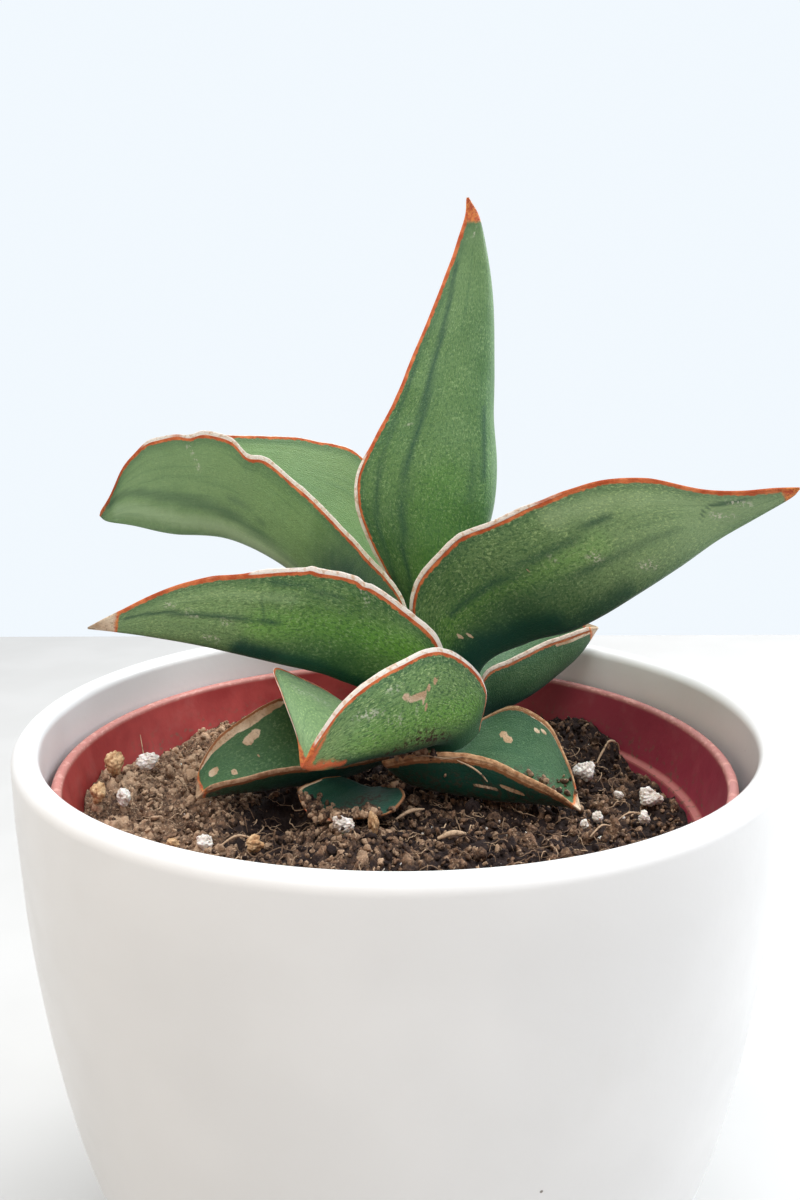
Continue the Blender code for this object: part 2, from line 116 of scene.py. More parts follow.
# Crumbs fallen on the low leaves: where, how far they spread along x and y, from what height and how many.
FALLEN_CRUMBS = (
    (-8.0, -10.2, 6.0, 1.5, 104.0, 420),
    (-16.5, -7.0, 1.8, 2.2, 104.0, 90),
    (3.5, 2.2, 3.2, 0.8, 108.3, 90),
    (29.0, 1.0, 2.5, 2.0, 108.0, 30),
)

CROWN_CENTRE = (8.0, 19.0)
CROWN_RINGS = 60

LEAF_EDGE = 0.9
LEAF_ACROSS = 45
LEAF_FOLD_POWER = 1.6
LEAF_STEP = 0.5
EDGE_POINTS = 5
TIP_HALF_WIDTH = 0.2
DENSE_STATIONS = 500
# How deep the veins, the swells and the waves of the margin are, how ragged the rim is, over what part of
# the length its papery skin ends, and the distance from the tip that says there is no dry tip.
VEIN_DEPTH = 0.07
SWELL_DEPTH = 0.28
WAVE_DEPTH = 0.30
RIM_RAGGEDNESS = 0.45
PAPER_FADE = 0.12
NO_TIP = 9

# Each leaf is a folded, keeled blade. A row gives a station from the base outwards: its right edge and
# left edge as seen from the crown with the channel up, its keel, and the blade's thickness at the keel.
# The last row is the tip: its point and thickness.
LEAVES = {
    "leaf_centre_upright": (
        ((4.5, 16.5, 106.5), (9.5, 19.5, 106.5), (8.5, 15.5, 106.5), 3.0),
        ((2.5, 19.5, 128.0), (11.0, 23.0, 128.0), (10.0, 15.0, 128.0), 3.4),
        ((-7.9, 18.5, 154.5), (18.5, 29.0, 153.0), (16.0, 15.0, 153.0), 3.6),
        ((-0.4, 19.0, 173.5), (18.5, 29.0, 172.0), (16.5, 17.0, 172.0), 3.2),
        ((7.7, 21.5, 192.7), (17.8, 27.5, 192.0), (17.5, 20.5, 192.0), 2.6),
        ((12.7, 23.3, 206.2), (15.8, 24.6, 206.2), (15.8, 23.0, 206.2), 1.4),
        ((13.4, 24.0, 211.3), 0.4),
    ),
    "leaf_right_arching": (
        ((7.0, 11.5, 109.0), (11.0, 24.0, 109.0), (15.0, 15.5, 108.5), 2.8),
        ((2.7, 10.5, 134.0), (10.0, 30.0, 132.5), (16.5, 13.0, 121.5), 3.2),
        ((9.3, 6.0, 146.0), (18.0, 28.5, 141.5), (25.0, 11.0, 127.0), 3.2),
        ((17.2, 3.0, 150.8), (24.5, 23.0, 146.0), (33.0, 6.5, 130.5), 3.0),
        ((31.7, -2.0, 157.8), (35.0, 15.0, 153.0), (43.0, 1.0, 138.0), 2.8),
        ((42.1, -5.0, 159.3), (44.0, 10.0, 154.5), (50.0, -2.0, 144.0), 2.5),
        ((53.0, -7.0, 157.2), (54.0, 1.0, 154.5), (57.0, -4.5, 150.0), 2.0),
        ((64.0, -8.7, 157.9), (64.5, -7.0, 157.2), (65.0, -8.4, 156.0), 1.2),
        ((66.6, -9.0, 158.1), 0.4),
    ),
    "leaf_left_lower": (
        ((-7.0, 21.0, 110.5), (6.0, 7.5, 110.5), (-5.0, 10.0, 109.0), 2.6),
        ((-9.0, 23.0, 123.0), (7.8, 7.0, 126.0), (-6.0, 11.0, 116.5), 3.0),
        ((-12.0, 22.0, 133.0), (0.2, 6.5, 134.4), (-12.0, 10.0, 120.0), 3.2),
        ((-16.0, 20.0, 138.0), (-8.6, 4.5, 140.5), (-18.0, 8.0, 122.5), 3.1),
        ((-25.0, 16.0, 138.5), (-20.4, 2.5, 142.2), (-27.0, 5.0, 125.5), 2.9),
        ((-41.0, 9.0, 137.0), (-39.2, 1.5, 140.2), (-43.0, 3.0, 129.8), 2.4),
        ((-51.5, 3.5, 134.0), (-51.5, 1.8, 134.8), (-52.0, 2.0, 131.4), 1.5),
        ((-57.0, 2.0, 132.2), 0.4),
    ),
    "leaf_left_back": (
        ((6.0, 27.0, 110.0), (2.0, 11.5, 110.0), (-3.0, 21.0, 109.5), 2.6),
        ((0.0, 35.0, 136.0), (1.2, 13.8, 132.4), (-4.0, 26.0, 124.0), 3.0),
        ((-7.0, 45.0, 159.0), (-8.1, 25.0, 143.1), (-14.0, 35.0, 130.0), 3.0),
        ((-20.5, 50.0, 164.5), (-21.0, 34.0, 155.0), (-26.0, 38.0, 138.5), 2.8),
        ((-36.5, 52.0, 165.5), (-35.0, 38.0, 164.8), (-39.0, 43.0, 143.8), 2.6),
        ((-50.0, 50.0, 164.8), (-48.0, 40.0, 166.5), (-51.0, 44.5, 144.5), 2.4),
        ((-60.0, 47.0, 158.0), (-60.5, 42.0, 160.5), (-60.5, 44.5, 146.5), 2.0),
        ((-66.0, 43.5, 150.5), (-66.0, 42.0, 151.3), (-65.5, 43.0, 147.6), 1.2),
        ((-67.0, 42.5, 149.0), 0.4),
    ),
    "leaf_front_short": (
        ((0.0, 8.0, 107.8), (16.0, 11.5, 109.0), (10.0, 5.0, 107.0), 2.4),
        ((-6.0, 7.0, 112.5), (16.5, 8.0, 119.0), (8.5, 2.5, 109.5), 2.8),
        ((-15.0, 8.5, 118.0), (8.7, 2.0, 127.3), (1.0, -4.0, 110.0), 3.0),
        ((-22.8, 4.5, 122.9), (0.0, -4.5, 126.4), (-6.0, -8.0, 110.2), 2.8),
        ((-20.8, -3.0, 120.0), (-8.5, -8.5, 121.5), (-11.0, -10.5, 109.8), 2.4),
        ((-17.9, -8.5, 114.6), (-14.0, -10.8, 114.8), (-15.0, -11.5, 109.7), 1.5),
        ((-16.8, -12.0, 110.6), 0.4),
    ),
    "leaf_right_back": (
        ((16.0, 23.0, 106.0), (9.0, 31.0, 106.5), (14.5, 29.5, 102.0), 2.6),
        ((18.0, 24.0, 116.0), (12.0, 36.0, 117.5), (20.0, 31.0, 105.5), 3.0),
        ((24.0, 28.5, 118.2), (18.0, 41.0, 120.0), (27.0, 34.0, 108.0), 3.0),
        ((32.0, 34.0, 120.5), (26.0, 46.0, 122.5), (34.0, 38.0, 111.5), 2.8),
        ((40.0, 38.0, 122.3), (37.0, 46.0, 124.0), (41.0, 41.0, 116.5), 2.2),
        ((45.3, 41.0, 123.3), 0.5),
    ),
    "leaf_low_left": (
        ((-2.0, 22.0, 103.8), (-2.0, 14.0, 102.5), (-2.0, 18.0, 100.3), 2.2),
        ((-9.0, 18.0, 107.5), (-8.5, 7.0, 103.6), (-9.0, 12.5, 99.8), 2.6),
        ((-16.5, 15.5, 112.7), (-14.0, 3.5, 104.3), (-15.0, 9.0, 99.6), 2.8),
        ((-24.5, 12.0, 114.2), (-20.0, 1.5, 104.6), (-22.0, 7.0, 99.5), 2.8),
        ((-34.0, 8.0, 108.8), (-29.0, 0.0, 103.2), (-30.0, 4.0, 99.5), 2.4),
        ((-37.5, 3.0, 104.5), (-35.0, -0.7, 101.7), (-35.7, 1.0, 99.8), 1.6),
        ((-37.9, -1.0, 100.3), 0.4),
    ),
    "leaf_low_right": (
        ((-3.0, 4.3, 104.5), (10.0, 11.5, 104.5), (4.0, 7.0, 99.3), 2.6),
        ((3.0, 1.8, 106.8), (17.0, 19.0, 108.0), (8.0, 6.0, 98.6), 3.0),
        ((14.0, -0.2, 107.4), (23.5, 19.5, 110.5), (16.0, 3.0, 98.5), 3.0),
        ((22.0, -3.2, 105.0), (29.5, 14.0, 109.0), (24.0, 0.5, 98.8), 2.6),
        ((28.5, -4.8, 102.0), (32.3, 5.0, 104.3), (30.0, -1.5, 99.0), 1.8),
        ((33.3, -4.2, 99.1), 0.4),
    ),
    "leaf_low_front": (
        ((-11.0, 3.6, 101.8), (0.0, 2.2, 100.3), (-5.0, 2.5, 98.6), 2.4),
        ((-15.5, 2.0, 102.0), (1.0, -3.0, 101.0), (-6.0, -0.5, 98.6), 2.4),
        ((-18.5, -1.2, 102.0), (-2.0, -9.0, 100.5), (-9.0, -4.0, 98.5), 2.2),
        ((-17.5, -6.0, 101.0), (-8.5, -10.0, 100.0), (-12.0, -7.0, 98.6), 1.8),
        ((-14.8, -9.3, 99.2), 0.4),
    ),
}

# For each leaf: how far up its white papery margin reaches, how wide that is, how corky it is, the painted
# sheen at its base and at its tip and on its inner face, how strong its pale stipple is, how much painted
# shade lies over the whole leaf and where its outer face looks down, and the length and kind of its dry tip.
LEAF_LOOKS = {
    "leaf_centre_upright": (0.52, 1.0, 0.0, 0.00, 0.20, 0.25, 0.65, 0.22, 0.35, 4.2, "orange"),
    "leaf_right_arching": (0.55, 1.3, 0.0, 0.08, 0.80, 0.30, 1.00, 0.00, 1.15, 2.2, "orange"),
    "leaf_left_lower": (0.62, 1.3, 0.0, 0.05, 0.40, 0.25, 0.80, 0.00, 1.05, 4.6, "tan"),
    "leaf_left_back": (0.85, 1.3, 0.0, 0.08, 0.52, 0.42, 0.25, 0.08, 0.5, 0.0, "orange"),
    "leaf_front_short": (1.10, 1.25, 0.0, 0.05, 0.22, 0.52, 1.00, 0.00, 0.7, 1.6, "orange"),
    "leaf_right_back": (1.10, 1.2, 0.4, 0.05, 0.20, 0.20, 0.70, 0.42, 0.9, 1.6, "tan"),
    "leaf_low_left": (1.10, 1.2, 0.9, 0.00, 0.08, 0.05, 0.60, 0.40, 1.0, 0.8, "tan"),
    "leaf_low_right": (1.10, 1.5, 1.0, 0.00, 0.00, 0.00, 0.45, 0.52, 1.3, 1.0, "tan"),
    "leaf_low_front": (0.20, 0.7, 1.0, 0.00, 0.00, 0.00, 0.30, 0.85, 1.3, 0.6, "tan"),
}

# Bumps and dips in the left margin of a leaf: where along it, how long and how high.
KINKS = {
    "leaf_left_back": ((0.662, 0.026, -1.8), (0.790, 0.020, -0.8), (0.877, 0.022, 0.7), (0.955, 0.030, -1.8)),
    "leaf_left_lower": ((0.480, 0.012, 0.4), (0.360, 0.010, -0.4)),
    "leaf_right_arching": ((0.300, 0.020, 0.3),),
}

# Marks on the leaves: face, kind, width, strength, and the path as (along 0 to 1, across -1 to 1). Soft kinds
# are painted shade, painted glow and painted sheen.
MARK_ROUGHNESS = {"stripe": 0.06, "painted_sheen_mark": 0.12, "painted_shade_mark": 0.10, "glow": 0.10, "scar": 0.20}
SOFT_MARKS = ("painted_sheen_mark", "painted_shade_mark", "glow")
MARKS = {
    "leaf_centre_upright": (
        ("outer", "glow", 16.0, 0.5, (0.12, -0.55), (0.3, -0.5), (0.48, -0.4)),
        (
            "outer", "stripe", 2.3, 1.0, (0.24, -0.8), (0.33, -0.76), (0.46, -0.68),
            (0.59, -0.72), (0.74, -0.77), (0.88, -0.88),
        ),
        ("outer", "stripe", 2.0, 0.8, (0.3, -0.93), (0.4, -0.9), (0.47, -0.88), (0.59, -0.93), (0.7, -0.95)),
        ("outer", "stripe", 1.1, 0.9, (0.49, -0.01), (0.56, 0.01), (0.63, -0.01)),
        ("outer", "stripe", 1.1, 0.8, (0.45, -0.15), (0.53, -0.16), (0.62, -0.2)),
        ("outer", "scratch", 0.8, 0.6, (0.93, -0.55), (0.945, -0.4)),
        ("outer", "scratch", 0.9, 0.5, (0.58, -0.86), (0.585, -0.8)),
    ),
    "leaf_right_arching": (
        ("outer", "painted_shade_mark", 19.0, 1.0, (0.14, -0.3), (0.3, -0.24), (0.42, -0.2)),
        ("outer", "painted_shade_mark", 13.0, 0.7, (0.4, -0.18), (0.6, -0.14)),
        ("outer", "glow", 8.0, 0.8, (0.1, -0.62), (0.25, -0.66), (0.6, -0.66)),
        ("outer", "stripe", 2.6, 1.0, (0.26, -0.7), (0.4, -0.72), (0.53, -0.75), (0.66, -0.82)),
        ("outer", "stripe", 2.2, 0.9, (0.44, -0.5), (0.57, -0.53), (0.64, -0.52), (0.76, -0.52)),
        ("outer", "stripe", 1.0, 1.0, (0.8, -0.56), (0.81, -0.68), (0.83, -0.8), (0.9, -0.86)),
        ("outer", "painted_sheen_mark", 13.0, 0.7, (0.56, -0.92), (0.68, -0.88), (0.8, -0.8), (0.97, -0.5)),
        ("outer", "scratch", 2.0, 0.9, (0.575, -0.62), (0.6, -0.57)),
        ("outer", "scratch", 2.4, 0.9, (0.66, -0.36), (0.685, -0.3)),
        ("outer", "scratch", 1.2, 0.6, (0.51, -0.72), (0.52, -0.68)),
        ("outer", "scratch", 2.0, 0.8, (0.83, -0.62), (0.86, -0.5)),
        ("outer", "scratch", 1.8, 0.8, (0.87, -0.84), (0.9, -0.7)),
        ("outer", "scar", 0.9, 0.9, (0.46, -0.7)),
        ("outer", "scar", 1.0, 0.9, (0.24, -0.55), (0.26, -0.48)),
    ),
    "leaf_left_lower": (
        ("outer", "painted_shade_mark", 9.0, 1.0, (0.1, 0.1), (0.34, 0.16), (0.58, 0.16)),
        ("outer", "glow", 11.0, 1.0, (0.16, 0.8), (0.35, 0.66), (0.55, 0.55)),
        ("outer", "scratch", 1.6, 1.0, (0.345, 0.93), (0.365, 1.0)),
        ("outer", "stripe", 1.6, 1.0, (0.46, 0.56), (0.57, 0.62), (0.73, 0.59), (0.9, 0.73)),
        ("outer", "stripe", 1.6, 0.8, (0.38, 0.86), (0.56, 0.93)),
        ("outer", "stripe", 0.8, 0.7, (0.53, 0.5), (0.555, 0.66), (0.575, 0.82)),
        ("outer", "painted_sheen_mark", 5.0, 0.45, (0.5, 0.8), (0.7, 0.85), (0.95, 0.7)),
        ("outer", "scratch", 1.4, 0.8, (0.65, 0.26), (0.68, 0.3)),
        ("outer", "scratch", 1.6, 0.7, (0.63, 0.51), (0.65, 0.56)),
        ("outer", "scratch", 1.5, 0.6, (0.72, 0.6), (0.74, 0.64)),
        ("outer", "scratch", 1.2, 0.6, (0.78, 0.74), (0.8, 0.78)),
    ),
    "leaf_left_back": (
        ("outer", "stripe", 4.2, 0.6, (0.5, 0.34), (0.63, 0.4), (0.72, 0.48), (0.84, 0.55), (0.97, 0.74)),
        ("outer", "stripe", 1.6, 0.5, (0.6, 0.55), (0.7, 0.62)),
        ("outer", "scratch", 1.6, 0.8, (0.765, 0.78), (0.79, 0.94)),
        ("outer", "painted_shade_mark", 30.0, 0.85, (0.0, 0.3), (0.2, 0.45), (0.36, 0.6)),
        ("outer", "painted_sheen_mark", 9.0, 1.0, (0.46, 0.14), (0.62, 0.22), (0.8, 0.3), (0.95, 0.45)),
    ),
    "leaf_front_short": (
        ("outer", "painted_shade_mark", 7.0, 0.8, (0.2, 0.02), (0.45, 0.02), (0.8, 0.1)),
        ("outer", "glow", 14.0, 0.8, (0.1, 0.7), (0.4, 0.45), (0.7, 0.45)),
        ("outer", "scar", 1.4, 1.0, (0.43, 0.82), (0.5, 0.7)),
        ("outer", "scar", 1.6, 1.0, (0.49, 0.7), (0.6, 0.74)),
        ("outer", "scar", 1.4, 1.0, (0.46, 0.6), (0.49, 0.7)),
        ("outer", "scratch", 0.9, 1.0, (0.5, 0.52), (0.505, 0.6)),
        ("outer", "scar", 1.2, 1.0, (0.39, 0.86)),
        ("outer", "scar", 0.9, 0.9, (0.53, 0.51)),
        ("outer", "rust", 2.6, 1.0, (0.8, 0.2), (0.93, 0.3), (1.0, 0.0)),
        ("outer", "rust", 1.8, 1.0, (0.9, 0.95), (1.0, 0.5)),
        ("outer", "scratch", 2.4, 0.6, (0.7, 0.7), (0.78, 0.8)),
        ("outer", "scratch", 2.0, 0.6, (0.58, 0.55), (0.64, 0.6)),
        ("outer", "scratch", 1.6, 0.6, (0.62, 0.84), (0.68, 0.88)),
        ("outer", "dirt", 6.0, 1.0, (0.2, 0.2), (0.45, 0.3), (0.56, 0.1)),
        ("channel", "scratch", 3.0, 0.5, (0.5, -0.75), (0.62, -0.82)),
    ),
    "leaf_right_back": (
        ("outer", "dirt", 6.0, 0.8, (0.05, 0.0), (0.25, 0.1)),
        ("outer", "scar", 1.1, 0.8, (0.7, -0.95), (0.95, -0.9)),
    ),
    "leaf_low_left": (
        ("channel", "scar", 3.2, 1.0, (0.5, -0.97), (0.66, -0.93), (0.8, -0.95), (0.93, -0.97)),
        ("channel", "scar", 3.0, 1.0, (0.66, -0.74), (0.69, -0.7)),
        ("channel", "scar", 1.2, 1.0, (0.67, -0.44)),
        ("channel", "scar", 2.0, 1.0, (0.87, -0.5), (0.89, -0.5)),
        ("channel", "scar", 1.8, 1.0, (0.79, -0.25)),
        ("channel", "dirt", 3.0, 0.8, (0.75, 0.55), (0.95, 0.5)),
        ("channel", "stripe", 3.0, 0.6, (0.2, 0.3), (0.6, 0.45), (0.9, 0.5)),
        ("outer", "dirt", 9.0, 0.9, (0.2, 0.0), (0.9, 0.0)),
    ),
    "leaf_low_right": (
        ("channel", "scar", 2.4, 1.0, (0.4, 0.7), (0.45, 0.66)),
        ("channel", "scar", 1.2, 0.8, (0.6, 0.84), (0.66, 0.88)),
        ("channel", "scar", 0.9, 1.0, (0.39, 0.62)),
        ("channel", "scar", 0.8, 1.0, (0.51, 0.78)),
        ("channel", "scar", 1.6, 0.9, (0.35, -0.98), (0.6, -0.97), (0.97, -0.95)),
        ("channel", "scar", 1.4, 0.9, (0.45, 0.98), (0.7, 0.97), (0.97, 0.95)),
        ("channel", "dirt", 6.0, 0.8, (0.35, 0.3), (0.75, 0.2)),
        ("outer", "dirt", 12.0, 0.6, (0.05, -0.5), (0.9, -0.3)),
        ("outer", "painted_shade_mark", 60.0, 0.97, (0.0, -0.4), (0.5, -0.4), (1.0, -0.4)),
        ("outer", "scar", 1.0, 0.7, (0.4, -0.62), (0.52, -0.58)),
        ("outer", "scar", 1.2, 0.8, (0.55, -0.7), (0.66, -0.66)),
    ),
    "leaf_low_front": (
        ("channel", "dirt", 8.0, 1.0, (0.3, 0.3), (0.95, 0.1)),
        ("outer", "dirt", 12.0, 1.0, (0.0, 0.0), (1.0, 0.0)),
        ("channel", "scar", 1.0, 0.8, (0.2, -0.97), (0.9, -0.95)),
    ),
}


def smooth_points(rows, places):
    """The smooth (Catmull-Rom) run through the rows, at places counted in rows."""
    rows = np.asarray(rows, float)
    ends = np.vstack([2 * rows[0] - rows[1], rows, 2 * rows[-1] - rows[-2]])
    points = []
    for place in places:
        i = min(int(place), len(rows) - 2)
        t = place - i
        a, b, c, d = ends[i : i + 4]
        bend = 2 * a - 5 * b + 4 * c - d
        twist = 3 * b - a - 3 * c + d
        points.append(0.5 * (2 * b + (c - a) * t + bend * t**2 + twist * t**3))
    return np.array(points)


def blade_stations(rows):
    """Evenly spaced stations as (right edge, left edge, keel, thickness), and the blade's length."""
    *body, (tip, tip_thickness) = rows
    right, left, keel, _ = (np.array(value) for value in body[-1])
    across = (left - right) / np.linalg.norm(left - right)
    down = keel - (left + right) / 2
    down /= np.linalg.norm(down)
    tip = np.array(tip)
    flat = [np.concatenate([*row[:3], [row[3]]]) for row in body]
    ends = [tip - across * TIP_HALF_WIDTH, tip + across * TIP_HALF_WIDTH, tip + down * TIP_HALF_WIDTH]
    flat.append(np.concatenate([*ends, [tip_thickness]]))
    places = np.linspace(0, len(flat) - 1, DENSE_STATIONS)
    dense = smooth_points(flat, places)
    middle = (dense[:, 0:3] + dense[:, 3:6] + 2 * dense[:, 6:9]) / 4
    run = np.concatenate([[0.0], np.cumsum(np.linalg.norm(np.diff(middle, axis=0), axis=1))])
    count = int(run[-1] / LEAF_STEP) + 2
    even = np.interp(np.linspace(0, run[-1], count), run, places)
    return smooth_points(flat, even), run[-1]


def wobble(x, y, seed):
    """Smooth noise in -1 to 1 over arrays x and y."""
    flat = [noise.noise((a, b, seed)) for a, b in zip(np.ravel(x), np.ravel(y))]
    return np.array(flat).reshape(np.shape(x))


def smoothstep(low, high, value):
    t = np.clip((value - low) / (high - low), 0, 1)
    return t * t * (3 - 2 * t)


def on_circle(radius, angle):
    return radius * math.cos(angle), radius * math.sin(angle)


def tube_faces(rings, size):
    """Quads between neighbouring rings of this many points."""
    spots = [(i * size, j, (j + 1) % size) for i in range(rings - 1) for j in range(size)]
    return [[at + j, at + k, at + size + k, at + size + j] for at, j, k in spots]


class Nodes:
    """A node tree, with short calls for the nodes that the room and the finishes below use."""

    def __init__(self, tree):
        self.tree = tree

    def node(self, kind, inputs=None, **settings):
        made = self.tree.nodes.new("ShaderNode" + kind)
        for key, value in settings.items():
            setattr(made, key, value)
        for key, value in (inputs or {}).items():
            self.plug(made.inputs[key], value)
        return made

    def plug(self, socket, value):
        """Links an output to the socket, or sets a number or colour on it."""
        if isinstance(value, bpy.types.NodeSocket):
            self.tree.links.new(value, socket)
        elif isinstance(value, (tuple, list)) and len(value) == 3 and len(socket.default_value) == 4:
            socket.default_value = (*value, 1.0)
        else:
            socket.default_value = value

    def split(self, vector):
        return self.node("SeparateXYZ", {0: vector}).outputs

    def math(self, operation, first, second=0.0):
        return self.node("Math", {0: first, 1: second}, operation=operation).outputs[0]

    def times(self, first, second):
        return self.math("MULTIPLY", first, second)

    def step(self, value, low, high, bottom=0.0, top=1.0):
        """The value as a smooth step from bottom at low to top at high."""
        inputs = {"Value": value, "From Min": low, "From Max": high, "To Min": bottom, "To Max": top}
        return self.node("MapRange", inputs, interpolation_type="SMOOTHSTEP").outputs["Result"]

    def mix(self, amount, first, second):
        made = self.node("Mix", {"Factor": amount}, data_type="RGBA")
        for socket, colour in zip((s for s in made.inputs if s.type == "RGBA"), (first, second)):
            self.plug(socket, colour)
        return [s for s in made.outputs if s.type == "RGBA"][0]


class Skin(Nodes):
    """A Principled material with patterns in millimetres, painted coat over coat."""

    def __init__(self, name, **constants):
        self.material = bpy.data.materials.new(name)
        self.material.use_nodes = True
        super().__init__(self.material.node_tree)
        self.shader = self.tree.nodes["Principled BSDF"]
        self.tint = None
        for socket, value in constants.items():
            self.shader.inputs[socket.replace("_", " ")].default_value = value

    def attribute(self, name):
        return self.node("Attribute", attribute_name=name).outputs["Fac"]

    def place(self, stretch=(1, 1, 1), flat=False):
        """Object coordinates in millimetres, or the piece's flat map, stretched along each axis."""
        source = self.node("TexCoord").outputs["UV" if flat else "Object"]
        size = 1.0 if flat else 1.0 / MM
        scale = tuple(size * value for value in stretch)
        return self.node("Mapping", {"Vector": source, "Scale": scale}).outputs["Vector"]

    def noise(self, size, detail=3.0, place=None, roughness=0.55):
        """Soft noise from about 0.25 to 0.75, with blobs of about this size in millimetres."""
        where = place or self.place()
        inputs = {"Vector": where, "Scale": 1.0 / size, "Detail": detail, "Roughness": roughness}
        return self.node("TexNoise", inputs).outputs["Fac"]

    def cloud(self, size, detail, low, high, bottom=0.0, top=1.0, place=None):
        """Noise as a smooth step from bottom at low to top at high."""
        return self.step(self.noise(size, detail, place), low, high, bottom, top)

    def cells(self, size):
        return self.node("TexVoronoi", {"Vector": self.place(), "Scale": 1.0 / size}).outputs["Distance"]

    def coat(self, amount, colour):
        """Paints the colour, by this amount, over what is there."""
        self.tint = self.mix(amount, self.tint, colour)

    def finish(self, roughness, *layers):
        """The material, with bumps laid one on the other as (height 0 to 1, depth in millimetres)."""
        self.plug(self.shader.inputs["Base Color"], self.tint)
        self.plug(self.shader.inputs["Roughness"], roughness)
        normal = None
        for height, depth in layers:
            made = self.node("Bump", {"Height": height, "Distance": depth * MM, "Strength": 1.0})
            if normal:
                self.plug(made.inputs["Normal"], normal)
            normal = made.outputs["Normal"]
        self.plug(self.shader.inputs["Normal"], normal)
        return self.material


def leaf_skin():
    """Waxy green skin: pale stipple, darker bands, a papery and orange margin, scars and dust, and painted
    shade, sheen and glow.
    """
    skin = Skin("leaf_skin", Specular_IOR_Level=0.38, Sheen_Weight=0.08, Sheen_Roughness=0.4)
    edge, shade, haze, grainy, cork, tip_mm, tan_tip = (
        skin.attribute(key) for key in ("edge_mm", "shade", "haze", "grainy", "cork", "tip_mm", "tan_tip")
    )
    ragged, broad, patch = skin.noise(1.1, 4.0), skin.noise(14.0, 3.0), skin.noise(4.5, 4.0)
    grain = skin.place((1.5, 1.0, 1.0), flat=True)
    along = skin.place((1.0, 0.06, 1.0), flat=True)
    skin.tint = skin.mix(skin.step(broad, 0.35, 0.66), (0.080, 0.205, 0.040), (0.150, 0.300, 0.085))
    skin.coat(skin.step(patch, 0.4, 0.75, 0.0, 0.45), (0.170, 0.325, 0.120))
    # Painted glow of light shining through the leaf, then painted sheen, then painted shade from the shade
    # attribute.
    glow = skin.times(skin.attribute("glow"), skin.step(broad, 0.25, 0.6, 0.6, 1.0))
    skin.coat(glow, (0.155, 0.400, 0.050))
    skin.coat(haze, (0.385, 0.560, 0.300))
    skin.coat(shade, (0.002, 0.060, 0.042))
    skin.coat(skin.step(edge, 2.4, 0.3, 0.0, 0.45), (0.022, 0.105, 0.055))
    bright = skin.step(skin.noise(0.68, 2.0, grain, roughness=0.7), 0.52, 0.62)
    clumped = skin.cloud(3.0, 4.0, 0.32, 0.65, 0.25, 1.0)
    stipple = skin.times(bright, skin.times(clumped, skin.times(grainy, 0.60)))
    # The pale stipple, painted darker where painted shade lies.
    skin.coat(stipple, skin.mix(shade, (0.52, 0.72, 0.32), (0.030, 0.190, 0.095)))
    pore = skin.times(skin.cloud(0.80, 2.0, 0.50, 0.62, 0.0, 0.62, grain), grainy)
    skin.coat(skin.times(pore, skin.step(haze, 0.0, 0.7, 1.0, 0.25)), (0.020, 0.090, 0.034))
    skin.coat(skin.cloud(1.6, 3.0, 0.50, 0.72, 0.0, 0.25, along), (0.030, 0.120, 0.050))
    broken = skin.cloud(2.2, 4.0, 0.25, 0.55, 0.55, 1.0, along)
    skin.coat(skin.times(skin.times(skin.attribute("stripe"), broken), 0.72), (0.012, 0.070, 0.046))
    # Painted shade once more, deepest where it is strongest.
    skin.coat(skin.times(skin.times(shade, shade), 0.9), (0.001, 0.056, 0.038))
    skin.coat(skin.times(skin.attribute("scratch"), skin.cloud(0.55, 5.0, 0.48, 0.60)), (0.66, 0.68, 0.56))
    worn = skin.math("ADD", skin.attribute("scar"), skin.times(skin.noise(0.5, 4.0), 0.3))
    scar = skin.step(worn, 0.42, 0.60)
    tan = skin.mix(skin.step(patch, 0.35, 0.7), (0.55, 0.36, 0.21), (0.84, 0.69, 0.51))
    tan = skin.mix(skin.cloud(0.5, 4.0, 0.52, 0.7, 0.0, 0.5), tan, (0.22, 0.11, 0.05))
    skin.coat(scar, tan)
    line = skin.step(skin.math("SUBTRACT", edge, skin.times(ragged, 0.75)), 0.14, -0.08)
    orange = skin.mix(skin.cloud(2.4, 3.0, 0.35, 0.7), (0.52, 0.095, 0.026), (0.78, 0.230, 0.080))
    skin.coat(line, skin.mix(cork, orange, (0.30, 0.130, 0.052)))
    paper = skin.mix(skin.step(ragged, 0.48, 0.70), (0.88, 0.82, 0.74), (0.68, 0.47, 0.32))
    bark = skin.mix(skin.step(ragged, 0.38, 0.64), (0.60, 0.37, 0.20), (0.34, 0.160, 0.070))
    skin.coat(skin.step(skin.attribute("pale"), 0.30, 0.62), skin.mix(cork, paper, bark))
    amber = skin.mix(skin.cloud(0.9, 4.0, 0.4, 0.65), (0.85, 0.28, 0.07), (0.58, 0.10, 0.035))
    collar = skin.step(skin.math("SUBTRACT", tip_mm, ragged), 0.9, 0.5)
    skin.coat(skin.times(collar, tan_tip), amber)
    tip = skin.step(skin.math("SUBTRACT", tip_mm, skin.times(ragged, 1.4)), 0.3, -0.5)
    skin.coat(tip, skin.mix(tan_tip, amber, tan))
    skin.coat(skin.times(skin.attribute("rust"), skin.step(ragged, 0.30, 0.42)), (0.72, 0.175, 0.065))
    dirt = skin.times(skin.attribute("dirt"), skin.cloud(0.8, 5.0, 0.47, 0.58))
    skin.coat(dirt, (0.060, 0.036, 0.024))
    dull = skin.math("MAXIMUM", skin.math("MAXIMUM", scar, line), dirt)
    return skin.finish(
        skin.math("ADD", skin.step(patch, 0.3, 0.75, 0.38, 0.52), skin.times(dull, 0.35)),
        (skin.noise(0.38, 2.0, grain), 0.16),
        (skin.noise(1.4, 3.0, along), 0.12),
        (skin.noise(0.8, 4.0), 0.06),
    )


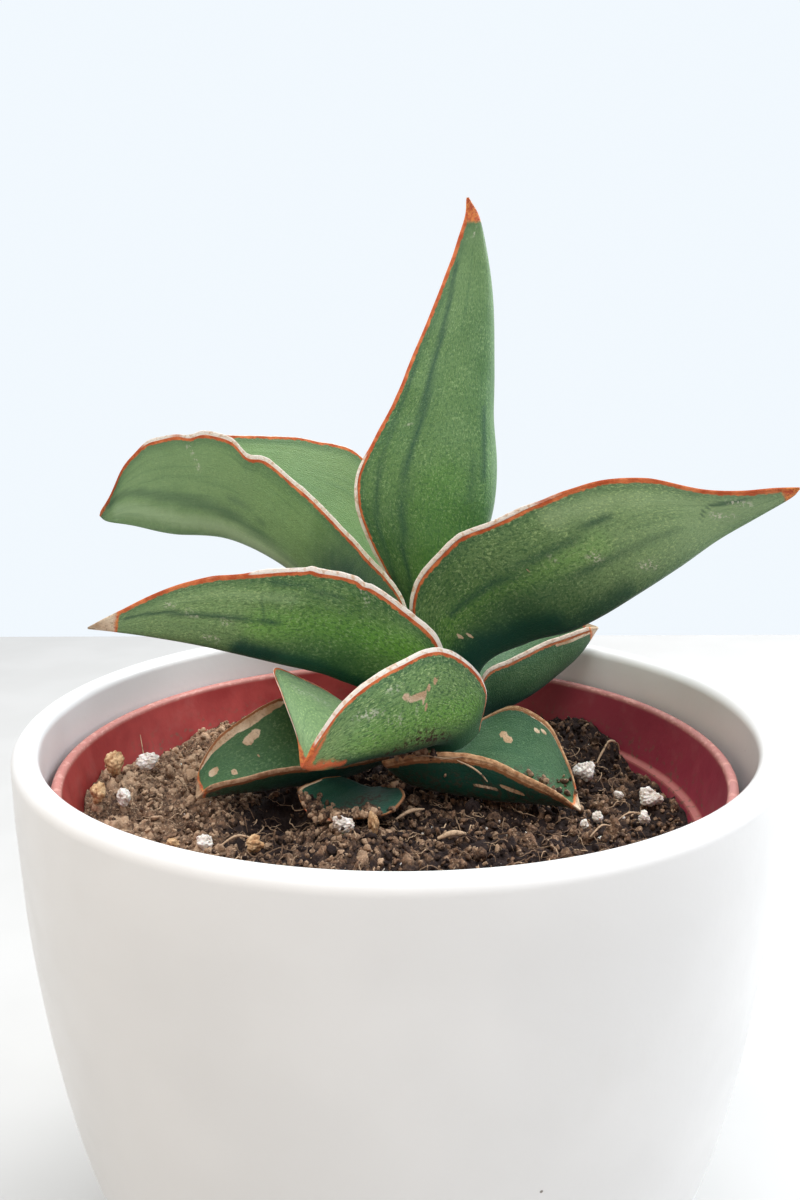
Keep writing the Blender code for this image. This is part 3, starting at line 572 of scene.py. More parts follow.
def white_glaze():
    """Satin white glaze with a faint orange-peel surface and a few iron specks."""
    skin = Skin("white_glaze", Specular_IOR_Level=0.5, Coat_Weight=0.25, Coat_Roughness=0.18)
    broad = skin.noise(30.0, 2.0)
    skin.tint = skin.mix(skin.step(broad, 0.35, 0.7), (0.760, 0.760, 0.757), (0.800, 0.800, 0.797))
    skin.coat(skin.cloud(9.0, 5.0, 0.62, 0.78, 0.0, 0.10, skin.place((1, 1, 0.35))), (0.70, 0.68, 0.64))
    speck = skin.times(skin.step(skin.cells(5.5), 0.055, 0.028), skin.cloud(16.0, 1.0, 0.60, 0.63))
    skin.coat(speck, (0.16, 0.13, 0.11))
    rough = skin.cloud(6.0, 4.0, 0.35, 0.7, 0.30, 0.40)
    return skin.finish(rough, (skin.noise(2.4, 2.0), 0.035), (broad, 0.25))


def terracotta_plastic(lip_top):
    """Moulded red-brown plastic: a paler lip, scuffed and with a painted highlight, a painted highlight along
    the ledge, the right side painted bluer as cool light, and soil dust low on the wall.
    """
    skin = Skin("terracotta_plastic", Specular_IOR_Level=0.45)
    height = skin.split(skin.place())["Z"]
    sideways = skin.split(skin.place())["X"]
    cloud = skin.noise(7.0, 4.0)
    skin.tint = skin.mix(skin.step(cloud, 0.35, 0.7), (0.290, 0.027, 0.026), (0.380, 0.043, 0.038))
    # Painted cool light: the right side is tinted bluer.
    skin.coat(skin.step(sideways, 0.0, 55.0, 0.0, 0.75), (0.245, 0.026, 0.058))
    # The lip is paler: scuffed, with a painted highlight along it.
    scuff_and_highlight = skin.cloud(1.6, 5.0, 0.5, 0.68, place=skin.place((1, 1, 2.5)))
    scuff_and_highlight = skin.math("ADD", skin.times(scuff_and_highlight, 0.4), 0.55)
    skin.coat(skin.times(skin.step(height, lip_top - 1.3, lip_top - 0.5), scuff_and_highlight), (0.66, 0.34, 0.29))
    # A painted highlight along the ledge.
    from_ledge = skin.math("ABSOLUTE", skin.math("SUBTRACT", height, NURSERY_LEDGE_Z))
    skin.coat(skin.times(skin.step(from_ledge, 0.7, 0.15), 0.55), (0.50, 0.20, 0.16))
    low = skin.step(height, lip_top - 3.0, NURSERY_LEDGE_Z + 1.0)
    skin.coat(skin.times(low, skin.cloud(1.3, 6.0, 0.54, 0.66, 0.0, 0.75)), (0.13, 0.078, 0.05))
    skin.coat(skin.cloud(4.5, 4.0, 0.5, 0.75, 0.0, 0.10), (0.42, 0.22, 0.19))
    rough = skin.step(cloud, 0.3, 0.7, 0.42, 0.58)
    return skin.finish(rough, (skin.noise(0.8, 3.0), 0.03), (skin.noise(9.0, 2.0), 0.05))


def peat_soil():
    """Crumbly peat: brown crumbs and straw-coloured bits, each crumb its own tone, paler as painted light and
    near black in hollows as painted shade.
    """
    skin = Skin("peat_soil", Specular_IOR_Level=0.25)
    shade = skin.attribute("shade")
    mottle = skin.noise(0.9, 6.0, roughness=0.7)
    skin.tint = skin.mix(skin.step(mottle, 0.38, 0.62), (0.052, 0.030, 0.021), (0.240, 0.140, 0.085))
    # By the shade attribute: paler as painted light, near black as painted shade.
    skin.coat(skin.step(shade, 0.45, 1.0, 0.0, 0.85), (0.55, 0.375, 0.245))
    skin.coat(skin.step(shade, 0.42, 0.0, 0.0, 0.92), (0.014, 0.009, 0.010))
    straw = skin.times(skin.cloud(0.50, 5.0, 0.57, 0.66, 0.0, 0.7), skin.step(shade, 0.10, 0.5))
    skin.coat(straw, (0.62, 0.45, 0.30))
    rough = skin.step(mottle, 0.3, 0.7, 0.82, 0.98)
    return skin.finish(rough, (skin.noise(0.30, 5.0), 0.22), (skin.noise(0.7, 4.0), 0.40))


def dry_fibre():
    """Dead root and peat fibre, pale to dark along each strand."""
    skin = Skin("dry_fibre", Specular_IOR_Level=0.3)
    tone = skin.step(skin.attribute("shade"), 0.0, 1.0)
    skin.tint = skin.mix(tone, (0.13, 0.075, 0.045), (0.52, 0.37, 0.24))
    skin.coat(skin.cloud(0.7, 4.0, 0.5, 0.68, 0.0, 0.6), (0.075, 0.045, 0.030))
    return skin.finish(skin.cloud(1.5, 3.0, 0.3, 0.7, 0.7, 0.9), (skin.noise(0.3, 3.0), 0.08))


def perlite():
    """Chalky expanded glass: white and pitted, browner in its pits, with specks of soil dust."""
    skin = Skin("perlite", Specular_IOR_Level=0.3, Subsurface_Weight=0.08, Subsurface_Scale=0.001)
    pits = skin.cells(0.55)
    cloud = skin.noise(1.2, 5.0)
    skin.tint = skin.mix(skin.step(cloud, 0.35, 0.65), (0.62, 0.56, 0.49), (0.84, 0.81, 0.77))
    # Browner in the pits.
    skin.coat(skin.step(pits, 0.30, 0.10, 0.0, 0.35), (0.40, 0.30, 0.22))
    skin.coat(skin.cloud(0.8, 5.0, 0.60, 0.70, 0.0, 0.75), (0.17, 0.10, 0.065))
    return skin.finish(skin.step(cloud, 0.3, 0.7, 0.75, 0.92), (pits, 0.16), (skin.noise(0.3, 3.0), 0.08))


def tan_stone():
    """Orange-tan grit with darker crusts."""
    skin = Skin("tan_stone", Specular_IOR_Level=0.3)
    cloud = skin.noise(1.4, 5.0)
    skin.tint = skin.mix(skin.step(cloud, 0.35, 0.65), (0.36, 0.19, 0.085), (0.66, 0.46, 0.26))
    skin.coat(skin.cloud(0.6, 5.0, 0.58, 0.70, 0.0, 0.7), (0.12, 0.065, 0.035))
    return skin.finish(skin.step(cloud, 0.3, 0.7, 0.7, 0.9), (skin.noise(0.45, 4.0), 0.14))


def stem_tissue():
    """Pale fibrous crown with brown leaf scars round it."""
    skin = Skin("stem_tissue", Specular_IOR_Level=0.3)
    ring = skin.noise(1.6, 4.0, skin.place((0.25, 0.25, 1.4)))
    fibre = skin.noise(0.8, 4.0, skin.place((1.6, 1.6, 0.3)))
    skin.tint = skin.mix(skin.step(fibre, 0.35, 0.65), (0.30, 0.22, 0.12), (0.46, 0.42, 0.24))
    skin.coat(skin.step(ring, 0.5, 0.62, 0.0, 0.85), (0.12, 0.065, 0.035))
    return skin.finish(skin.step(fibre, 0.3, 0.7, 0.65, 0.85), (ring, 0.3), (fibre, 0.15))


def turn_outwards(mesh):
    work = bmesh.new()
    work.from_mesh(mesh)
    bmesh.ops.recalc_face_normals(work, faces=work.faces)
    work.to_mesh(mesh)
    work.free()


def add_piece(name, points, faces, material, slot, nodes=(), attributes=None, flat_map=None, closed=False):
    """A smooth mesh piece in millimetres, riding on the plant's body and standing for the CAD nodes."""
    mesh = bpy.data.meshes.new(name)
    mesh.from_pydata((np.asarray(points, float) * MM).tolist(), [], faces)
    mesh.update()
    if closed:
        turn_outwards(mesh)
    for key, values in (attributes or {}).items():
        mesh.attributes.new(key, "FLOAT", "POINT").data.foreach_set("value", np.asarray(values, np.float32))
    if flat_map is not None:
        corners = np.empty(len(mesh.loops), np.int32)
        mesh.loops.foreach_get("vertex_index", corners)
        mesh.uv_layers.new(name="skin").data.foreach_set("uv", flat_map[corners].ravel())
    mesh.materials.append(material)
    mesh.shade_smooth()
    piece = bpy.data.objects.new(name, mesh)
    bpy.context.scene.collection.objects.link(piece)
    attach(piece, "root")
    if nodes:
        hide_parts(*nodes)
    return piece


class Heap:
    """Small shapes gathered into one piece, each with its own shade."""

    def __init__(self):
        self.points, self.faces, self.shade, self.count = [], [], [], 0

    def add(self, points, faces, tone):
        self.points.append(points)
        self.faces.append(faces + self.count)
        self.shade.append(np.full(len(points), tone))
        self.count += len(points)

    def piece(self, name, material, slot):
        points, faces, shade = (np.concatenate(part) for part in (self.points, self.faces, self.shade))
        return add_piece(name, points, faces.tolist(), material, slot, attributes={"shade": shade})


def mark_fields(name, along, across, length, run, jitter):
    """Each kind of mark on each face as an array, from the leaf's list of marks."""
    fields = {}
    for face, kind, width, strength, *path in MARKS.get(name, ()):
        places, sides = np.array(path).T
        wanted = np.interp(along, places, sides)
        middle = np.array([np.interp(x, across, row) for x, row in zip(wanted, run)])
        beside = np.abs(run - middle[:, None])
        beyond = np.maximum(0, np.maximum(places[0] - along, along - places[-1])) * length
        gap = np.hypot(beside, beyond[:, None]) / (width / 2) + MARK_ROUGHNESS.get(kind, 0.35) * jitter
        taper = np.ones(len(along))
        soft = kind in SOFT_MARKS
        if len(path) > 2 and not soft:
            t = np.clip((along - places[0]) / (places[-1] - places[0]), 0, 1)
            taper = 0.45 + 0.55 * np.sin(np.pi * t)
        inside = 1 - smoothstep(0.0 if soft else 0.25, 1.0, gap / taper[:, None])
        field = fields.setdefault((kind, face), np.zeros(run.shape))
        np.maximum(field, inside * strength, out=field)
    return fields


def facing_down(surface, up):
    """How far each point of a face, seen from outside, looks down: 1 straight down, 0 level."""
    normal = np.cross(np.gradient(surface, axis=0), np.gradient(surface, axis=1))
    normal /= np.maximum(np.linalg.norm(normal, axis=2), 1e-9)[..., None]
    middle = surface.shape[1] // 2
    inward = (normal[:, middle] * up).sum(axis=1) > 0
    normal = np.where(inward[:, None, None], -normal, normal)
    return np.clip(-normal[..., 2], 0, 1)


def make_leaf(name, rows, seed, material):
    """One leaf, with its horny rim, veins and wrinkles, and its looks as attributes of its points."""
    stations, length = blade_stations(rows)
    pale_reach, rim_width, cork, *rest = LEAF_LOOKS[name]
    base_sheen, tip_sheen, inner_sheen, stipple, shade_all_over, depth_of_shade, tip_length, tip_kind = rest
    count = len(stations)
    right, left, keel = stations[:, 0:3], stations[:, 3:6], stations[:, 6:9]
    thickness = np.maximum(stations[:, 9], TIP_HALF_WIDTH)
    middle = (right + left) / 2
    depth = np.linalg.norm(middle - keel, axis=1)
    up = (middle - keel) / depth[:, None]
    side = (left - right) / 2
    half = np.linalg.norm(side, axis=1)
    along = np.linspace(0, 1, count)
    still = np.zeros(count)
    paper = along + 0.1 * wobble(along * length / 5, still, seed)
    paper = smoothstep(pale_reach + PAPER_FADE, pale_reach - PAPER_FADE, paper)
    edge = np.minimum(LEAF_EDGE, 0.6 * thickness) * (0.45 + 0.55 * paper)
    across = np.sin(np.linspace(-np.pi / 2, np.pi / 2, LEAF_ACROSS))
    grid_along, grid_across = np.meshgrid(along, across, indexing="ij")
    hang = 1 - np.abs(across) ** LEAF_FOLD_POWER
    base = middle[:, None] + side[:, None] * across[None, :, None]
    outer = base - up[:, None] * (depth[:, None] * hang)[..., None]
    fall = (depth - thickness)[:, None] * hang - edge[:, None] * (1 - hang)
    channel = base - up[:, None] * fall[..., None]
    fade = np.minimum(1, (half / 4)[:, None]) * smoothstep(0, 0.15, hang)[None, :]
    veins = wobble(grid_across * 13, grid_along * length / 30, seed) * VEIN_DEPTH
    swell = wobble(grid_across * 1.6, grid_along * length / 11, seed + 5) * SWELL_DEPTH
    outer += up[:, None] * ((veins + swell) * fade)[..., None]
    channel += up[:, None] * ((swell - veins) * fade)[..., None]
    wave = wobble(along * length / 6.0, still, seed + 9) * np.minimum(1, half / 5)
    ragged = 1 + RIM_RAGGEDNESS * wobble(along * length / 1.7, still, seed + 11)
    rim_points = []
    angles = np.radians(np.linspace(-90, 90, EDGE_POINTS + 2)[1:-1])
    for sign, last in ((1, -1), (-1, 0)):
        rise = wave * WAVE_DEPTH * sign
        if sign > 0:
            kinks = KINKS.get(name, ())
            rise = rise + sum(h * np.exp(-(((along - at) / wide) ** 2)) for at, wide, h in kinks)
        shift = up * rise[:, None]
        grip = np.clip((sign * across - 0.55) / 0.45, 0, 1) ** 2
        outer += shift[:, None] * grip[None, :, None]
        channel += shift[:, None] * grip[None, :, None]
        out = sign * side + up * (LEAF_FOLD_POWER * depth)[:, None]
        out /= np.linalg.norm(out, axis=1)[:, None]
        corner = (outer[:, last] + channel[:, last]) / 2
        bulge = edge * 0.42 * ragged * (0.45 + 0.55 * rim_width * paper)
        bead = [out * (bulge * math.cos(a))[:, None] + up * (edge / 2 * math.sin(a))[:, None] for a in angles]
        rim_points.append([corner + point for point in bead[::sign]])
    ring = [outer[:, i] for i in range(LEAF_ACROSS)] + rim_points[0]
    ring += [channel[:, i] for i in reversed(range(LEAF_ACROSS))] + rim_points[1]
    points = np.stack(ring, 1)
    steps = np.linalg.norm(np.diff(outer, axis=1), axis=2)
    run = np.concatenate([np.zeros((count, 1)), np.cumsum(steps, axis=1)], axis=1)
    edge_mm = np.minimum(run, run[:, -1:] - run)
    jitter = wobble(grid_along * length / 1.3, grid_across * 9, seed + 3)
    fields = mark_fields(name, along, across, length, run, jitter)
    blank = np.zeros((count, LEAF_ACROSS))

    def on_rim(values):
        return np.repeat(values[:, None], EDGE_POINTS, 1)

    def both_faces(outer_values, channel_values, rim_left=still, rim_right=still):
        parts = [outer_values, on_rim(rim_left), channel_values[:, ::-1], on_rim(rim_right)]
        return np.concatenate(parts, axis=1).ravel()

    def marked(kind):
        sides = [fields.get((kind, face), blank) for face in ("outer", "channel")]
        return both_faces(*sides, *(np.maximum(*(values[:, i] for values in sides)) for i in (-1, 0)))

    paper_rim = 0.05 + 0.95 * paper
    band_mm = 2.0 * max(0.0, rim_width - 1.3)
    band = paper[:, None] * smoothstep(band_mm + 0.15, band_mm - 0.10, edge_mm) * (band_mm > 0)
    edge_mm = (edge_mm - band_mm * paper[:, None]) / rim_width
    tip_mm = np.maximum(0, (1 - grid_along) * length - tip_length) + (tip_length == 0) * NO_TIP
    # Painted shade: darker where the outer face looks down, near the base, under shade marks and all over.
    downward = facing_down(outer, up)
    low = smoothstep(0.0, 0.8, downward) * (1 - 0.7 * smoothstep(0.25, 0.85, grid_along))
    low = np.maximum(low * depth_of_shade, fields.get(("painted_shade_mark", "outer"), 0.0))
    base_shade = 0.4 * smoothstep(0.24, 0.04, grid_along)
    # Painted sheen: paler towards the tip, weaker where the face looks down, stronger under sheen marks.
    haze = base_sheen + (tip_sheen - base_sheen) * smoothstep(0.30, 1.0, grid_along)
    haze = haze * (1 - 0.5 * smoothstep(0.2, 0.9, downward))
    haze = np.maximum(haze, fields.get(("painted_sheen_mark", "outer"), 0.0))
    size = points.shape[1]
    total = count * size
    attributes = {
        "edge_mm": both_faces(edge_mm, edge_mm),
        "pale": both_faces(band, band, paper_rim, paper_rim),
        "tip_mm": both_faces(tip_mm, tip_mm, tip_mm[:, 0], tip_mm[:, 0]),
        "tan_tip": np.full(total, float(tip_kind == "tan")),
        "haze": both_faces(haze, blank + inner_sheen),
        "cork": np.full(total, cork),
        "grainy": np.full(total, stipple),
        "shade": both_faces(np.clip(low + base_shade + shade_all_over, 0, 0.95), base_shade * 0.6 + shade_all_over),
    }
    for kind in ("stripe", "scratch", "scar", "dirt", "rust", "glow"):
        attributes[kind] = marked(kind)
    seam = np.concatenate([[0.0], np.cumsum(np.linalg.norm(np.diff(points[count // 2], axis=0), axis=1))])
    flat_map = np.stack([np.tile(seam, count), np.repeat(along * length, size)], -1)
    faces = tube_faces(count, size) + [list(range(size))[::-1], list(range(total - size, total))]
    made = ("skin_" + name, points.reshape(-1, 3), faces, material, "leaf_skin", (name,))
    return add_piece(*made, attributes, flat_map, closed=True)


def arc(centre_r, centre_z, radius, end, steps):
    """Points of an arc in the (radius, height) plane, from +radius up to the angle end, in degrees."""
    turns = [on_circle(radius, math.radians(end * i / steps)) for i in range(steps + 1)]
    return [(centre_r + r, centre_z + z) for r, z in turns]


def lathe(name, profile, material, slot, node, centre=(0.0, 0.0), segments=LATHE_SEGMENTS, unround=None):
    """A closed profile of (radius, height), from axis to axis, turned once round the vertical line."""
    rings = profile[1:-1]
    points = []
    for radius, height in rings:
        for i in range(segments):
            angle = 2 * math.pi * i / segments
            x, y = on_circle(radius + (unround(angle, height) if unround else 0.0), angle)
            points.append((centre[0] + x, centre[1] + y, height))
    first, last = len(points), len(points) + 1
    points += [(*centre, profile[0][1]), (*centre, profile[-1][1])]
    faces = tube_faces(len(rings), segments)
    top = (len(rings) - 1) * segments
    for j in range(segments):
        k = (j + 1) % segments
        faces += [[first, k, j], [last, top + j, top + k]]
    piece = add_piece(name, points, faces, material, slot, (node,), closed=True)
    piece.data.set_sharp_from_angle(angle=math.radians(SHARP_ANGLE))
    return piece


def box_mm(node):
    return [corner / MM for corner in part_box(node)]


def make_cover_pot(material):
    low, high = box_mm("cover_pot")
    radius, height = (high.x - low.x) / 2, high.z
    rows = (
        (POT_FOOT_RADIUS + 1.0, 1.2),
        (POT_FOOT_RADIUS + 6.8, 13.0),
        (radius - 12.6, 29.5),
        (radius - 6.7, 48.0),
        (radius - 3.1, 67.0),
        (radius - 0.9, 87.0),
        (radius, height - 10.0),
    )
    outer = [tuple(row) for row in smooth_points(rows, np.linspace(0, len(rows) - 1, 60))]
    curl = POT_WALL / 2
    rim = arc(radius - curl, height - curl, curl, 180, 20)
    inner = [(r - POT_WALL, z) for r, z in reversed(outer) if z > POT_FLOOR + 4.0]
    floor_edge = POT_FOOT_RADIUS - 1.0
    foot = [(0.0, 0.0), (POT_FOOT_RADIUS - 4.0, 0.0), (POT_FOOT_RADIUS, 0.0), (POT_FOOT_RADIUS + 0.6, 0.35)]
    floor = [(floor_edge + 1.0, POT_FLOOR + 1.0), (floor_edge, POT_FLOOR), (0.0, POT_FLOOR)]

    def thrown(angle, z):
        return 0.10 * noise.noise((*on_circle(1.3, angle), z / 40))

    profile = foot + outer + rim + inner + floor
    lathe("glazed_cover_pot", profile, material, "white_glaze", "cover_pot", unround=thrown)


def make_nursery_pot(material):
    low, high = box_mm("nursery_pot")
    lip, top, base = (high.x - low.x) / 2, high.z, low.z
    floor = base + NURSERY_WALL
    ledge = NURSERY_LEDGE_Z
    outer = [
        (NURSERY_BASE_RADIUS - 1.0, base),
        (NURSERY_BASE_RADIUS, base + 1.0),
        (NURSERY_BODY_RADIUS + NURSERY_WALL, ledge - 1.4),
        (NURSERY_COLLAR_RADIUS + NURSERY_WALL, ledge - 0.9),
        (lip - NURSERY_LIP_WIDTH + 0.7, top - 3.5),
        (lip - 0.1, top - 3.5),
        (lip, top - 3.2),
    ]
    roll = arc(lip - 0.9, top - 0.9, 0.9, 170, 12)
    inner = [
        (lip - NURSERY_LIP_WIDTH - 0.05, top - 1.2),
        (NURSERY_COLLAR_RADIUS + 0.25, ledge + 0.7),
        (NURSERY_COLLAR_RADIUS, ledge + 0.15),
        (NURSERY_COLLAR_RADIUS - 0.2, ledge),
        (NURSERY_BODY_RADIUS + 0.2, ledge - 0.1),
        (NURSERY_BODY_RADIUS, ledge - 0.4),
        (NURSERY_BASE_RADIUS - NURSERY_WALL, floor + 1.0),
        (NURSERY_BASE_RADIUS - NURSERY_WALL - 1.0, floor),
    ]
    profile = [(0.0, base)] + outer + roll + inner + [(0.0, floor)]
    centre = (NURSERY_OFFSET_X, 0.0)
    pot = lathe("plastic_nursery_pot", profile, material, "terracotta_plastic", "nursery_pot", centre)
    cut_drain_holes(pot, base)


def cut_drain_holes(pot, base):
    work = bmesh.new()
    for i in range(DRAIN_HOLES):
        x, y = on_circle(DRAIN_RING_RADIUS, 2 * math.pi * i / DRAIN_HOLES)
        place = Matrix.Translation(Vector((NURSERY_OFFSET_X + x, y, base)) * MM)
        radius, depth = DRAIN_HOLE_RADIUS * MM, DRAIN_HOLE_DEPTH * MM
        bmesh.ops.create_cone(
            work, cap_ends=True, segments=24, radius1=radius, radius2=radius, depth=depth, matrix=place
        )
    mesh = bpy.data.meshes.new("drain_holes")
    work.to_mesh(mesh)
    work.free()
    cutter = bpy.data.objects.new("drain_holes", mesh)
    bpy.context.scene.collection.objects.link(cutter)
    modifier = pot.modifiers.new("drain_holes", "BOOLEAN")
    modifier.operation = "DIFFERENCE"
    modifier.object = cutter
    cut = bpy.data.meshes.new_from_object(pot.evaluated_get(bpy.context.evaluated_depsgraph_get()))
    pot.modifiers.clear()
    pot.data = cut
    bpy.data.objects.remove(cutter)


def nearness(x, y, centre_x, centre_y, spread):
    """1 at the centre, falling smoothly to 0 over about twice the spread."""
    return float(np.exp(-((x - centre_x) ** 2 + (y - centre_y) ** 2) / spread**2))


def soil_height(x, y):
    """The soil's level here, before its roughness."""
    return SOIL_LEVEL + sum(rise * nearness(x, y, *bank) for *bank, rise in SOIL_BANKS)


def lumpy(x, y):
    """Rough ground: clods, crumbs and grit, in millimetres, sunk in the hollow under the low leaves."""
    clods = noise.fractal((x / 6.0, y / 6.0, SEED), 1.0, 2.0, 2) * 1.5
    crumbs = abs(noise.noise((x / 2.1, y / 2.1, SEED + 2))) * 1.9
    fine = abs(noise.noise((x / 0.9, y / 0.9, SEED + 6))) * 1.0
    grit = noise.noise((x / 0.5, y / 0.5, SEED + 4)) * 0.25
    *hollow, depth = SOIL_HOLLOW
    return clods + crumbs + fine + grit - 1.2 - depth * nearness(x, y, *hollow)


def soil_tone(x, y):
    """How much paler or darker the soil is here: paler on the left as painted light and on one front mound,
    darker elsewhere, darkest in the hollow as painted shade.
    """
    lit_left = 0.60 * float(smoothstep(-18.0, -42.0, x))
    return lit_left + 0.26 * nearness(x, y, *PALE_MOUND) - 0.5 * nearness(x, y, *SOIL_HOLLOW[:3]) - 0.25


def soil_reach(angle):
    """How far the soil runs along this spoke before it meets the nursery pot's wall."""
    x, y = on_circle(NURSERY_BODY_RADIUS, angle)
    height = soil_height(x + NURSERY_OFFSET_X, y)
    over = smoothstep(0.4, 1.6, height - NURSERY_LEDGE_Z)
    collar = NURSERY_COLLAR_RADIUS - 0.2 + max(0.0, height - NURSERY_LEDGE_Z) * 0.22
    return (1 - over) * (NURSERY_BODY_RADIUS - 0.3) + over * collar


def make_soil(material):
    """The rough surface of the soil as rings, and its plain side inside the pot."""
    bottom = box_mm("potting_soil")[0].z
    hidden = ((NURSERY_BODY_RADIUS - 2.0, NURSERY_LEDGE_Z - 8.0), (NURSERY_BASE_RADIUS - 2.6, bottom))
    points, shade = [], []
    for i in range(SOIL_SPOKES):
        angle = 2 * math.pi * i / SOIL_SPOKES
        reach = soil_reach(angle)
        for ring in range(1, SOIL_RINGS + 1):
            x, y = on_circle(reach * ring / SOIL_RINGS, angle)
            x += NURSERY_OFFSET_X
            rough = lumpy(x, y)
            height = soil_height(x, y) + rough
            if ring > SOIL_RINGS - 3 and reach > NURSERY_BODY_RADIUS:
                height = max(height, NURSERY_LEDGE_Z + 0.2)
            points.append((x, y, height))
            # Painted light and shade: higher lumps paler, dips darker, with the soil's tone here.
            shade.append(max(0.0, 0.40 + 0.42 * max(-1.0, min(1.0, rough)) + soil_tone(x, y)))
        for radius, height in hidden:
            x, y = on_circle(radius, angle)
            points.append((NURSERY_OFFSET_X + x, y, height))
            shade.append(0.3)
    per = SOIL_RINGS + len(hidden)
    faces = []
    for i in range(SOIL_SPOKES):
        near, far = i * per, (i + 1) % SOIL_SPOKES * per
        faces += [[near + j, near + j + 1, far + j + 1, far + j] for j in range(per - 1)]
    add_piece("soil_bed", points, faces, material, "peat_soil", ("potting_soil",), {"shade": shade})


def unit_lumps(count, subdivisions, rng, roughness):
    """Several different knobbly unit lumps, and the faces that they share."""
    work = bmesh.new()
    bmesh.ops.create_icosphere(work, subdivisions=subdivisions, radius=1.0)
    ball = np.array([v.co for v in work.verts])
    faces = np.array([[v.index for v in f.verts] for f in work.faces])
    work.free()
    lumps = []
    for _ in range(count):
        shift = rng.uniform(-50, 50, 3)
        push = []
        for p in ball:
            knobs = 0.5 * abs(noise.noise(Vector(p * 2.6 + shift)))
            push.append(noise.fractal(Vector(p * 0.9 + shift), 1.0, 2.0, 3) + knobs)
        lumps.append(ball * (1 + roughness * np.array(push))[:, None])
    return lumps, faces


def turned(shape, rng):
    """The shape, turned at random."""
    return shape @ np.array(Euler(rng.uniform(0, 2 * np.pi, 3)).to_matrix()).T


def scatter(name, count, sizes, shapes, rng, clear_of, material, slot, bright, sunk):
    """Crumbs strewn over the soil, joined as one piece, none of them in a leaf or a grain."""
    lumps, faces = shapes
    heap = Heap()
    for _ in range(count):
        angle, far = rng.uniform(0, 2 * np.pi), math.sqrt(rng.uniform(0, 1))
        size = sizes[0] + (sizes[1] - sizes[0]) * rng.uniform(0, 1) ** 2.4
        x, y = on_circle(far * (soil_reach(angle) - size * 0.8), angle)
        x += NURSERY_OFFSET_X
        shape = np.array([1.0, rng.uniform(0.45, 0.95), rng.uniform(0.30, 0.75)]) * size / 2
        z = soil_height(x, y) + lumpy(x, y) + size * (0.5 - sunk) * 0.7
        lump = lumps[rng.integers(len(lumps))]
        # Each crumb's own tone, with the soil's painted light and shade here.
        tone = max(0.0, rng.uniform(*bright) + soil_tone(x, y))
        gap = clear_of.find_nearest(Vector((x, y, z)))[3]
        if gap is None or gap >= size * 0.55:
            heap.add(turned(lump * shape, rng) + (x, y, z), faces, tone)
    return heap.piece(name, material, slot)


def drop_crumbs(shapes, rng, clear_of, material):
    """Small crumbs that have fallen on the low leaves, each resting on what lies under it."""
    lumps, faces = shapes
    heap = Heap()
    for centre_x, centre_y, spread_x, spread_y, top, count in FALLEN_CRUMBS:
        for _ in range(count):
            x, y = centre_x + rng.normal(0, spread_x), centre_y + rng.normal(0, spread_y)
            hit = clear_of.ray_cast(Vector((x, y, top)), Vector((0, 0, -1)))[0]
            ground = soil_height(x, y) + lumpy(x, y)
            size = rng.uniform(0.4, 1.7)
            z = (max(ground, hit.z) if hit else ground) + 0.25 * size
            lump = lumps[rng.integers(len(lumps))] * np.array([1.0, 0.75, 0.6]) * size / 2
            heap.add(turned(lump, rng) + (x, y, z), faces, rng.uniform(0.05, 0.95))
    return heap.piece("fallen_crumbs", material, "peat_soil")


def strand(path, width, sides=6):
    """A tapering tube along smooth points, as (points, faces)."""
    path = np.asarray(path, float)
    points = []
    for i, centre in enumerate(path):
        way = Vector(path[min(i + 1, len(path) - 1)] - path[max(i - 1, 0)]).normalized()
        one = way.orthogonal().normalized()
        two = way.cross(one)
        radius = width / 2 * (0.25 + 0.75 * math.sin(math.pi * (0.08 + 0.84 * i / (len(path) - 1))))
        for j in range(sides):
            a = 2 * math.pi * j / sides
            points.append(Vector(centre) + radius * (math.cos(a) * one + math.sin(a) * two))
    return np.array(points), np.array(tube_faces(len(path), sides))


def make_fibres(count, rng, clear_of, material):
    """Fine root and peat fibres, lying over the crumbs and curling up a little."""
    heap = Heap()
    for _ in range(count):
        angle, far = rng.uniform(0, 2 * np.pi), math.sqrt(rng.uniform(0, 0.92))
        x, y = on_circle(far * (NURSERY_BODY_RADIUS - 3), angle)
        x += NURSERY_OFFSET_X
        heading, bend = rng.uniform(0, 2 * np.pi), rng.normal(0, 0.22)
        length, width = rng.uniform(1.5, 7.0), rng.uniform(0.08, 0.26)
        lift = rng.uniform(0.1, 1.1)
        path = []
        for i in range(FIBRE_POINTS):
            arch = lift * math.sin(math.pi * i / (FIBRE_POINTS - 1))
            path.append((x, y, soil_height(x, y) + (lumpy(x, y) * 0.6 + arch + 0.6)))
            x += math.cos(heading) * length / (FIBRE_POINTS - 1)
            y += math.sin(heading) * length / (FIBRE_POINTS - 1)
            heading += bend
        if math.hypot(x - NURSERY_OFFSET_X, y) > NURSERY_BODY_RADIUS - 1.5:
            continue
        if any(clear_of.find_nearest(Vector(p))[3] < 0.5 for p in path[::3]):
            continue
        heap.add(*strand(path, width), rng.uniform(0, 1) ** 1.5)
    for path, width, tone in LOOSE_BITS:
        heap.add(*strand(smooth_points(path, np.linspace(0, len(path) - 1, 16)), width, 8), tone)
    return heap.piece("soil_fibres", material, "peat_soil")


def make_grain(node, rng, material, slot):
    """A pitted grain that fills its CAD node's box."""
    low, high = (np.array(corner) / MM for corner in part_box(node))
    (lump,), faces = unit_lumps(1, 5, rng, 0.48)
    lump = (lump - lump.min(0)) / (lump.max(0) - lump.min(0)) - 0.5
    points = lump * ((high - low) * 1.02) + ((low + high) / 2 - (0, 0, GRAIN_SINK))
    return add_piece("rough_" + node, points, faces.tolist(), material, slot, (node,))


